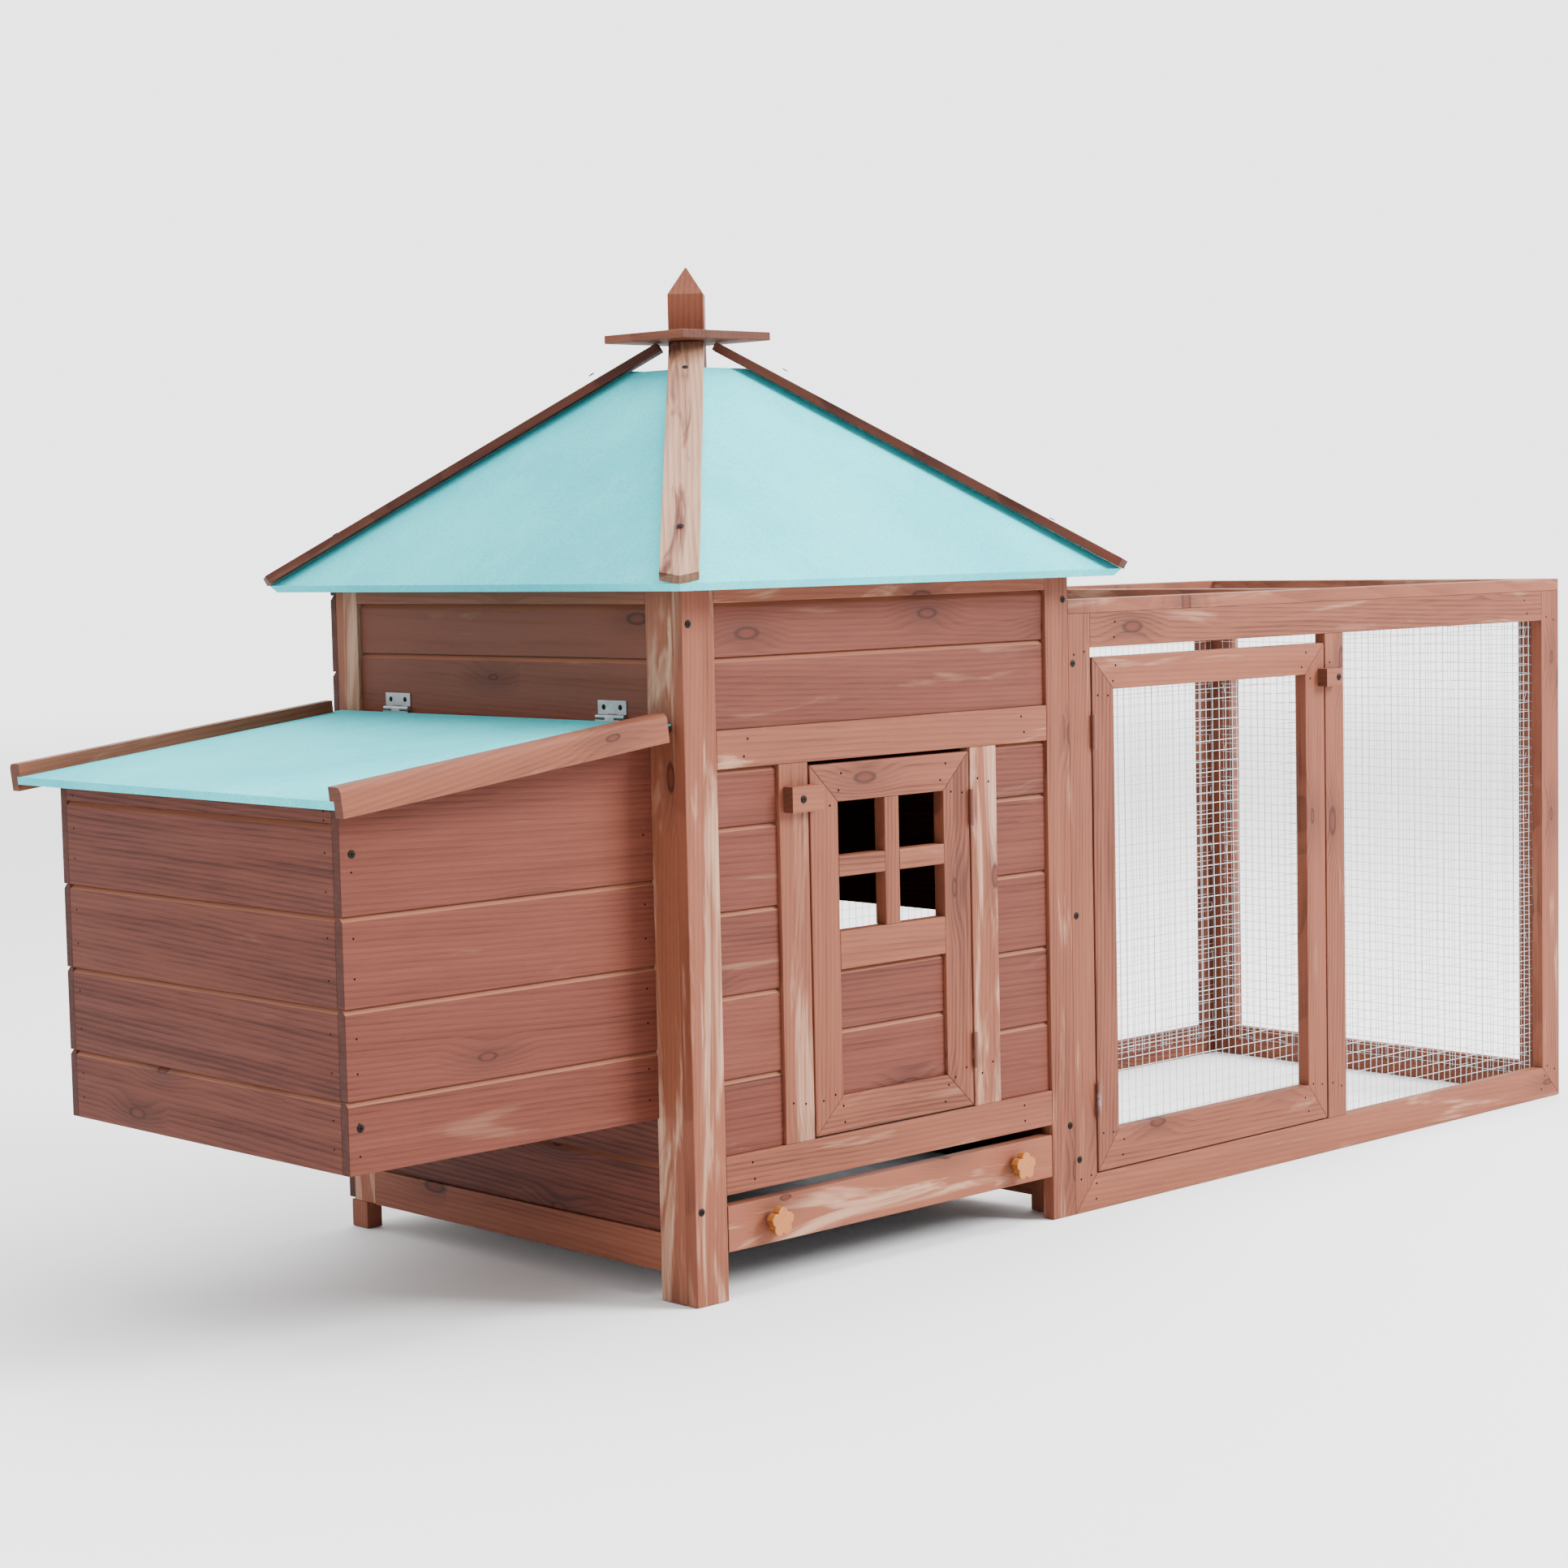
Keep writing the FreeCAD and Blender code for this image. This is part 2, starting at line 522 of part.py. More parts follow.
def build_hips():
    """Flat boards with a pointed lower end lie along the four hips."""
    angle = math.degrees(math.atan2(size("roof_half_y"), size("roof_half_x")))
    fall = math.degrees(math.atan2(value("hip_high - hip_low"), value("hip_reach - hip_end")))
    long = "sqrt((hip_reach - hip_end) ^ 2 + (hip_high - hip_low) ^ 2)"
    outline = [("0", "0"), ("hip_nose", "-hip_wide / 2"), (long, "-hip_wide / 2"), (long, "hip_wide / 2"),
               ("hip_nose", "hip_wide / 2")]
    boards = []
    for azimuth in (angle, 180 - angle, 180 + angle, -angle):
        inwards = FreeCAD.Rotation(FreeCAD.Vector(0, 0, 1), azimuth + 180)
        rotation = inwards.multiply(FreeCAD.Rotation(FreeCAD.Vector(0, 1, 0), -fall))
        boards.append(prism(outline, "hip_thick", f"{LEFT} + roof_axis + hip_reach * cos({azimuth:.6f} deg)",
                            f"hip_reach * sin({azimuth:.6f} deg)", "hip_low",
                            plane="XY_Plane", rotation=rotation))
    node("hip_boards", *boards)


def build_finial():
    """A square plate that caps the hips, and a post set cornerwise above and below it."""
    diagonal = FreeCAD.Rotation(FreeCAD.Vector(0, 0, 1), 45)
    centre = f"{LEFT} + roof_axis"

    def cornerwise(low, high):
        return box(centre, "-finial * sqrt(0.5)", low, "finial", "finial", f"{high} - ({low})", diagonal)

    node("finial_plate", box(f"{centre} - finial_plate / 2", "-finial_plate / 2", "plate_low",
                             "finial_plate", "finial_plate", "plate_thick"))
    post = cornerwise("plate_low + plate_thick", "finial_shoulder")
    tip = doc.addObject("Part::Wedge", "tip")
    inset = "(finial - tip_flat) / 2"
    limits = {"Xmin": "0", "Ymin": "0", "Zmin": "0", "Xmax": "finial", "Ymax": "finial_tip - finial_shoulder",
              "Zmax": "finial", "X2min": inset, "Z2min": inset, "X2max": f"{inset} + tip_flat",
              "Z2max": f"{inset} + tip_flat"}
    for side, expression in limits.items():
        tip.setExpression(side, bound(expression))
    upright = diagonal.multiply(FreeCAD.Rotation(FreeCAD.Vector(1, 0, 0), 90))
    place(tip, f"{centre} - finial * sqrt(0.5)", "0", "finial_shoulder", upright)
    node("finial_post", fuse(post, tip), cornerwise("block_low", "plate_low"))


def build_run():
    """Four framed sides of welded mesh round the run, and a mesh door beside a fixed panel."""
    inner_right = "run_len - run_stile_end"
    top_low = "run_high - run_top_rail"
    outlines = [
        [("0", "0"), ("run_frame", "run_rail"), ("run_frame", "run_high"), ("0", "run_high")],
        [("0", "0"), ("run_len", "0"), (inner_right, "run_rail"), ("run_frame", "run_rail")],
        [("run_len", "0"), ("run_len", "run_high"), (inner_right, "run_high"), (inner_right, "run_rail")],
    ]
    node("run_front_frame", *[prism(outline, "plank", 0, FRONT, 0) for outline in outlines],
         box("run_frame", FRONT, top_low, f"{inner_right} - run_frame", "plank", "run_top_rail"),
         box("post_left", FRONT, "run_rail", "post_wide", "plank", f"{top_low} - run_rail"))
    rear_y = f"{BACK} - plank"
    node("run_rear_frame", *butt_frame_x(rear_y))
    node("run_end_frame", *butt_frame_y("run_len - plank"))
    top_z = "run_high"
    cross_y = f"{FRONT} + run_frame"
    cross_wide = "depth - 2 * run_frame"
    node("run_top_frame",
         box(0, FRONT, top_z, "run_len", "run_frame", "plank"),
         box(0, f"{BACK} - run_frame", top_z, "run_len", "run_frame", "plank"),
         *[box(x, cross_y, top_z, "run_frame", cross_wide, "plank")
           for x in (0, "(run_len - run_frame) / 2", "run_len - run_frame")])
    build_run_mesh()


def butt_frame_x(y):
    """A rectangular frame across X: stiles full height, rails between them."""
    rail = "run_len - 2 * run_frame"
    return [box(0, y, 0, "run_frame", "plank", "run_high"),
            box("run_len - run_frame", y, 0, "run_frame", "plank", "run_high"),
            box("run_frame", y, 0, rail, "plank", "run_rail"),
            box("run_frame", y, "run_high - run_top_rail", rail, "plank", "run_top_rail")]


def butt_frame_y(x):
    """A rectangular frame across Y, between the front and rear frames."""
    start = f"{FRONT} + plank"
    wide = "depth - 2 * plank"
    rail = f"{wide} - 2 * run_frame"
    return [box(x, start, 0, "plank", "run_frame", "run_high"),
            box(x, f"{start} + {wide} - run_frame", 0, "plank", "run_frame", "run_high"),
            box(x, f"{start} + run_frame", 0, "plank", rail, "run_rail"),
            box(x, f"{start} + run_frame", "run_high - run_top_rail", "plank", rail, "run_top_rail")]


def build_run_mesh():
    """Welded mesh stapled inside each frame; each thin sheet stands for the wires of one panel."""
    low = "run_rail - mesh_lap"
    tall = f"run_high - run_top_rail + mesh_lap - ({low})"
    end_x = "run_len - plank - mesh_thick"
    long = f"{end_x} - mesh_end_gap"
    side_y = f"{FRONT} + plank + mesh_lap"
    deep = "depth - 2 * plank - 2 * mesh_lap"
    post_x = "post_left + mesh_lap"
    node("run_front_mesh", box(post_x, f"{FRONT} + plank", low, f"{long} - ({post_x})", "mesh_thick", tall))
    node("run_rear_mesh", box("mesh_lap", f"{BACK} - plank - mesh_thick", low, f"{long} - mesh_lap",
                              "mesh_thick", tall))
    node("run_end_mesh", box(end_x, side_y, low, "mesh_thick", deep, tall))
    node("run_top_mesh", box("mesh_lap", side_y, "run_high - mesh_thick",
                             "run_len - plank - 2 * mesh_lap", deep, "mesh_thick"))


def build_run_door():
    """Mitred door of the run with mesh on its inner face."""
    high = "run_door_high - run_door_low"
    node("run_door_frame", *mitred_frame(RUN_DOOR_LEFT, FRONT, "run_door_low", "run_door_wide", high,
                                         "run_frame", "run_door_foot", "run_frame"))
    node("run_door_mesh", box(f"{RUN_DOOR_LEFT} + mesh_lap", f"{FRONT} + plank", "run_door_low + mesh_lap",
                              "run_door_wide - 2 * mesh_lap", "mesh_thick", f"{high} - 2 * mesh_lap"))


def knuckle_spans(start, long, fixed):
    """Start and length of a leaf's knuckles: the outer thirds if fixed, the middle third if it moves."""
    third = f"{long} / 3"
    if fixed:
        return [(start, third), (f"{start} + 2 * {third}", third)]
    return [(f"{start} + {third} + leaf_gap / 2", f"{third} - leaf_gap")]


def pin_bore(fixed):
    """Radius of a leaf's bore: tight on the pin if it is fixed, free if it moves."""
    return "pin" if fixed else "pin + pin_play"


def door_leaf(axis_x, axis_y, z, side, fixed):
    """A leaf let into the gap beside a door, rolled round the pin; side is where its plate lies."""
    plate_x = f"{axis_x} + leaf_play" if side > 0 else f"{axis_x} - leaf_play - leaf"
    pieces = [box(plate_x, f"{axis_y} + knuckle + leaf_gap", z, "leaf", "leaf_deep", "door_hinge")]
    for low, tall in knuckle_spans(z, "door_hinge", fixed):
        pieces.append(cylinder(axis_x, axis_y, low, "knuckle", tall))
        pieces.append(box(plate_x, axis_y, low, "leaf", "knuckle + knuckle_tab", tall))
    hole = cylinder(axis_x, axis_y, z, pin_bore(fixed), "door_hinge")
    return cut(fuse(*pieces), hole)


def nest_leaf(y, fixed):
    """The nest lid's butt hinge: a leaf up the wall boards, the other down the lid's rear edge."""
    x, z = NEST_AXIS
    if fixed:
        plate_x = f"{x} + knuckle - leaf"
        tab_z = z
        plate = box(plate_x, y, f"{z} + knuckle + leaf_gap", "leaf", "nest_hinge", "nest_leaf - knuckle")
    else:
        plate_x = f"{x} - knuckle"
        tab_z = f"{z} - knuckle - knuckle_tab"
        plate = box(plate_x, y, f"{z} - nest_leaf_drop", "leaf", "nest_hinge",
                    "nest_leaf_drop - knuckle - leaf_gap")
    pieces = [plate]
    for start, wide in knuckle_spans(y, "nest_hinge", fixed):
        pieces.append(cylinder(x, start, z, "knuckle", wide, "y"))
        pieces.append(box(plate_x, start, tab_z, "leaf", wide, "knuckle + knuckle_tab"))
    hole = cylinder(x, y, z, pin_bore(fixed), "nest_hinge", "y")
    return cut(fuse(*pieces), hole)


AXIS_Y = f"{FRONT} - knuckle - knuckle_gap"
HOUSE_AXIS_X = f"{LEFT} + door_left + door_wide + {HINGE_GAP} / 2"
RUN_AXIS_X = f"{RUN_DOOR_LEFT} - {HINGE_GAP} / 2"
NEST_AXIS = (f"{LEFT} + board_recess - knuckle", "lid_wall + nest_axis_rise")


def build_hinges():
    """Six butt hinges: two on each door and two on the nest lid."""
    fixed = []
    pins = []
    house_levels = ("door_low + house_hinge_inset", "door_high - house_hinge_inset - door_hinge")
    run_levels = ("run_door_low + run_hinge_inset", "run_door_high - run_hinge_inset - door_hinge")
    for name, axis_x, leaf_side, levels in (("house", HOUSE_AXIS_X, -1, house_levels),
                                            ("run", RUN_AXIS_X, 1, run_levels)):
        fixed += [door_leaf(axis_x, AXIS_Y, z, -leaf_side, True) for z in levels]
        pins += [cylinder(axis_x, AXIS_Y, z, "pin", "door_hinge") for z in levels]
        node(f"{name}_hinge_door_leaves", *[door_leaf(axis_x, AXIS_Y, z, leaf_side, False) for z in levels])
    nest_y = [f"{FRONT} + {offset}" for offset in ("nest_hinge_front", "nest_hinge_rear")]
    fixed += [nest_leaf(y, True) for y in nest_y]
    pins += [cylinder(NEST_AXIS[0], y, NEST_AXIS[1], "pin", "nest_hinge", "y") for y in nest_y]
    node("nest_hinge_lid_leaves", *[nest_leaf(y, False) for y in nest_y])
    node("hinge_fixed_leaves", *fixed)
    node("hinge_pins", *pins)


def turn_button(name, pivot_x):
    """A wooden block that turns on one screw and overlaps the door's edge; gives back its screw."""
    pivot_z = f"{name}_button_level"
    high = f"{name}_button_high"
    front = f"{FRONT} - button_play - button_thick"
    block = box(f"{pivot_x} - {name}_button_left", front, f"{pivot_z} - {high} / 2",
                f"{name}_button_long", "button_thick", high)
    hole = cylinder(pivot_x, FRONT, pivot_z, "screw_shank + pin_play", "button_thick + button_play", "-y")
    node(f"{name}_turn_button", cut(block, hole))
    shank = cylinder(pivot_x, FRONT, pivot_z, "screw_shank", "button_thick + 2 * button_play", "-y")
    return fuse(shank, screw_head(pivot_x, f"{front} - button_play", pivot_z))


def screw_head(x, y, z, direction="-y"):
    """A round head standing proud of the face at x, y, z."""
    return cylinder(x, y, z, "screw_head", "screw_rise", direction)


def build_buttons_and_screws():
    """The two turn buttons with their screws, and the screw heads along the frames."""
    screws = [turn_button("house", f"{LEFT} + house_button_along"),
              turn_button("run", "post_left + run_button_along")]
    run_levels = ("run_screw_low", "run_screw_middle", "run_screw_high")
    for x, levels in ((f"{LEFT} + screw_inset", ("left_screw_low", "left_screw_high")),
                      ("-screw_inset", ("right_screw_low", "right_screw_high")),
                      ("run_screw_inset", run_levels)):
        screws += [screw_head(x, FRONT, z) for z in levels]
    nest_x = f"{LEFT} - nest_out + nest_screw_inset"
    screws += [screw_head(nest_x, f"{FRONT} + nest_front", z) for z in ("nest_screw_low", "nest_screw_high")]
    for y in (f"{FRONT} + screw_inset", f"{BACK} - screw_inset"):
        screws += [screw_head("run_len", y, z, "x") for z in run_levels]
    node("screws", *screws)


def check_and_write():
    """Stop on any failed object, then write every sub-part to its own file."""
    doc.recompute()
    for item in doc.Objects:
        if "Invalid" in item.State or "Error" in item.State:
            raise RuntimeError(f"{item.Name} ({item.Label}) failed: {item.State}")
    os.makedirs("parts", exist_ok=True)
    for label, item in NODES.items():
        shape = item.Shape
        if shape.isNull() or not shape.isValid():
            raise RuntimeError(f"{label} has no valid shape")
        shape.exportStep(f"parts/{label}.step")
    print(len(NODES), "sub-parts written")


build_front_wall()
build_left_wall()
build_right_wall()
build_rear_wall()
build_inside()
build_drawer()
build_house_door()
build_nest()
build_lid()
build_roof()
build_run()
build_run_door()
build_hinges()
build_buttons_and_screws()
check_and_write()
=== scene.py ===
import json
import math
import random

import bmesh
import bpy
import numpy as np
from mathutils import Matrix, Vector


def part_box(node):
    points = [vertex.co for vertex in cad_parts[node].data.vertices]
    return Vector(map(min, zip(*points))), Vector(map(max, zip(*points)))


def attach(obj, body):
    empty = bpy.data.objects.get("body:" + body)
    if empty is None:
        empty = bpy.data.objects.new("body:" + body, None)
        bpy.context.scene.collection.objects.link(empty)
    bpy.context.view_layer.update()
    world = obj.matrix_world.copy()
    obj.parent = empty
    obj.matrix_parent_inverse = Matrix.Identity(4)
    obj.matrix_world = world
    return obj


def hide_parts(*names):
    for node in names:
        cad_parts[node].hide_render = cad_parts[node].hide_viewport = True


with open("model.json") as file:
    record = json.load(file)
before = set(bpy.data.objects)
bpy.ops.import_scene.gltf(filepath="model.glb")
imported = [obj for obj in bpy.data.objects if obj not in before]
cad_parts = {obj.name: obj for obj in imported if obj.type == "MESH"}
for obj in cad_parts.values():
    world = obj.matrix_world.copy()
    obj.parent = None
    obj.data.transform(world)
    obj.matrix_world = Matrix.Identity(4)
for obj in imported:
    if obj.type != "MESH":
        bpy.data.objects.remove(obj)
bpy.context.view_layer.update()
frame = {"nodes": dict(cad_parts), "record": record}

RECORD = frame["record"]
SLOT_OF = {entry["node"]: entry["material_slot"] for entry in RECORD["subparts"]}
BODY_OF = {node: body for body, nodes in RECORD["behaviour"]["bodies"].items() for node in nodes}

# each mesh panel, with the way from its frame into the run
MESH_NODES = {
    "run_front_mesh": Vector((0, 1, 0)),
    "run_door_mesh": Vector((0, 1, 0)),
    "run_rear_mesh": Vector((0, -1, 0)),
    "run_end_mesh": Vector((-1, 0, 0)),
    "run_top_mesh": Vector((0, 0, -1)),
}
MESH_PITCH = 0.012
WIRE_RADIUS = 0.0004
WIRE_STEP = 0.03
STAPLE_STEP = 0.072
STAPLE_INSET = 0.006
STAPLE_HALF = 0.0055
STAPLE_RISE = 0.0021
STAPLE_SINK = 0.0012
STAPLE_RADIUS = 0.0005

# screw heads and finishing nails
HEAD_SINK = 0.0003
SCREW_RISE = 0.0008
SMALL_SCREW_RISE = 0.0006
SIDE_HEAD_DEPTH = 0.002
HIP_SCREW_RADIUS = 0.0035
HIP_SCREW_REACHES = (0.16, -0.17)
LEAF_SCREW_RADIUS = 0.0028
LEAF_SCREW_SPREAD = 0.0125
LEAF_SCREW_DROP = 0.0068
NAIL_RISE = 0.00012
BOARD_NAIL_INSET = 0.012
BOARD_NAIL_SHARE = 0.42
BOARD_NAIL_WANDER = 0.004
NARROW_BOARD = 0.02
NEST_NAIL_TOP = 0.515
FRAME_NAIL_RADIUS = 0.0013
FRAME_NAIL_INSET = 0.045
FRAME_NAIL_SWAYS = (-0.008, 0.009)
FRAME_NAIL_WANDER = 0.012
SHORTEST_NAILED = 0.03
SMALLEST_NAILED = 0.0008

# places that tell the pieces of one node apart
ROOF_MIDDLE_X = -0.3
LEFT_WALL_X = -0.5
NEST_BOTTOM_Z = 0.5

# each node's colour runs between two shades, 0 pale and 1 dark; where none is given, from one to the other.
# Some ranges are painted light and shade, not stain: the rear and end run frames and the nest end are painted
# shade, darker as they stand in shade, and the left stiles and the upper left wall boards are painted light,
# paler to make up for the shade of the eaves and the nest box on their faces
STAIN_AND_LIGHT_SHADES = {"run_rear_frame": (1.2, 1.6), "run_end_frame": (0.4, 0.9), "nest_end": (0.8, 1.3),
          "left_boards": (-0.9, -0.3), "nest_front_side": (-0.1, 0.6), "front_stile_left": (-0.2, 0.3),
          "left_stiles": (-0.9, -0.4), "tray_front": (-1.3, -0.9)}
# painted shade: the left wall's boards below the nest box, darker where the nest box keeps the light off them
LOW_LEFT_PAINTED_SHADE = (0.9, 1.3)

# how far each node's stain has worn through
WEAR = {"front_stile_left": 0.75, "front_stile_right": 0.5, "front_door_jambs": 0.9, "front_rails": 0.5,
        "front_boards": 0.15, "house_door_frame": 0.25, "tray_front": 0.55, "left_stiles": 0.7,
        "run_front_frame": 0.3, "run_door_frame": 0.2, "run_top_frame": 0.6, "lid_rails": 0.2}
# the near hip board is worn far paler: partly paler wood, partly painted light, since it faces the camera and
# takes the key light only at a grazing angle
NEAR_HIP_WEAR_AND_LIGHT = 1.8
HIP_WEAR = 0.2

# how wide each finish's softened edges are
WIDTHS = {"stained_frame": 0.0009, "stained_boards": 0.0007, "roof_plywood": 0.0006, "knob_pine": 0.0016,
          "roof_felt": 0.0002, "pan_steel": 0.0002, "zinc_hinge": 0.00015}

# directions count as square to one another below this cosine, and level or upright by the same measure
SQUARE = 0.05
RIM_SQUARE = 0.02

rng = random.Random(7)


# ---------------------------------------------------------------- shader helpers

COAT_ROUGHNESS = 0.25


class Shader:
    """Builds one node material with short calls."""

    def __init__(self, name, world=None):
        self.material = world or bpy.data.materials.new(name)
        self.material.use_nodes = True
        self.tree = self.material.node_tree
        self.tree.nodes.clear()
        kinds = ("ShaderNodeBackground", "World") if world else ("ShaderNodeBsdfPrincipled", "Material")
        self.surface = self.add(kinds[0])
        self.output = self.add(f"ShaderNodeOutput{kinds[1]}")
        self.link(self.surface.outputs[0], self.output.inputs["Surface"])

    def add(self, kind, **settings):
        item = self.tree.nodes.new(kind)
        for key, setting in settings.items():
            setattr(item, key, setting)
        return item

    def link(self, source, target):
        """Plug a socket in, or set the constant."""
        if isinstance(source, bpy.types.NodeSocket):
            self.tree.links.new(source, target)
        else:
            target.default_value = source

    def math(self, operation, first, second=0.0, clamp=False):
        item = self.add("ShaderNodeMath", operation=operation, use_clamp=clamp)
        self.link(first, item.inputs[0])
        self.link(second, item.inputs[1])
        return item.outputs[0]

    def swing(self, value, amount):
        """A value of 0 to 1 made to swing round zero, by half the amount each way."""
        return self.math("MULTIPLY", self.math("SUBTRACT", value, 0.5), amount)

    def vector(self, operation, first, second):
        item = self.add("ShaderNodeVectorMath", operation=operation)
        self.link(first, item.inputs[0])
        self.link(second, item.inputs[1])
        return item.outputs[0]

    def stretch(self, vector, scale):
        return self.vector("MULTIPLY", vector, scale)

    def noise(self, vector, scale, detail=3.0, rough=0.5, distort=0.0):
        item = self.add("ShaderNodeTexNoise")
        self.link(vector, item.inputs["Vector"])
        self.link(scale, item.inputs["Scale"])
        self.link(detail, item.inputs["Detail"])
        self.link(rough, item.inputs["Roughness"])
        self.link(distort, item.inputs["Distortion"])
        return item.outputs["Fac"]

    def ramp(self, factor, low, high, to_low=0.0, to_high=1.0):
        item = self.add("ShaderNodeMapRange", interpolation_type="SMOOTHSTEP")
        for source, name in ((factor, "Value"), (low, "From Min"), (high, "From Max"),
                             (to_low, "To Min"), (to_high, "To Max")):
            self.link(source, item.inputs[name])
        return item.outputs[0]

    def patches(self, value, low, high, strength):
        """Patches that grow in as the value goes from low to high, as far as the strength."""
        return self.math("MULTIPLY", self.ramp(value, low, high), strength)

    def mix(self, factor, first, second):
        item = self.add("ShaderNodeMix", data_type="RGBA", blend_type="MIX")
        self.link(factor, item.inputs[0])
        self.link(first, item.inputs[6])
        self.link(second, item.inputs[7])
        return item.outputs[2]

    def bump(self, height, strength, distance, normal=None):
        item = self.add("ShaderNodeBump")
        self.link(strength, item.inputs["Strength"])
        self.link(distance, item.inputs["Distance"])
        self.link(height, item.inputs["Height"])
        if normal is not None:
            self.link(normal, item.inputs["Normal"])
        return item.outputs[0]

    def finish(self, color, roughness, normal=None, metallic=0.0, specular=0.5, coat=0.0):
        self.link(color, self.surface.inputs["Base Color"])
        self.link(roughness, self.surface.inputs["Roughness"])
        self.link(metallic, self.surface.inputs["Metallic"])
        self.link(specular, self.surface.inputs["Specular IOR Level"])
        self.link(coat, self.surface.inputs["Coat Weight"])
        self.link(COAT_ROUGHNESS, self.surface.inputs["Coat Roughness"])
        if normal is not None:
            self.link(normal, self.surface.inputs["Normal"])
        return self.material


def rgb(red, green, blue):
    """A linear colour from display values of 0 to 255."""
    def linear(part):
        part /= 255
        return part / 12.92 if part <= 0.04045 else ((part + 0.055) / 1.055) ** 2.4
    return (linear(red), linear(green), linear(blue), 1.0)


def attribute(shader, name, output="Vector"):
    """A value stored on the mesh."""
    item = shader.add("ShaderNodeAttribute", attribute_name=name, attribute_type="GEOMETRY")
    return item.outputs[output]


# ---------------------------------------------------------------- materials

METALLIC = 0.92
RING_PITCH = 0.0058
PITH_DEPTH = 0.034
PITH_LEAN = 0.035
PITH_SWAY = 0.022
KNOT_CYCLES = (4.2, 11.0, 0.0)
KNOT_LEAST = 0.03
KNOT_SPREAD = 0.045
KNOT_PUSH = 0.012
KNOT_HEART = rgb(84, 38, 24)
KNOT_RIM = rgb(36, 15, 11)
BARE_PALE = rgb(180, 142, 117)
BARE_DARK = rgb(122, 82, 62)
# painted highlight and thinner stain together: the paler colour of the boards' sloping bevels
SLOPE_STAIN_AND_HIGHLIGHT = rgb(150, 98, 74)
GRANULE_CYCLES = 850.0
CRYSTAL_SHIFT = (0.31, 0.17, 0.73)


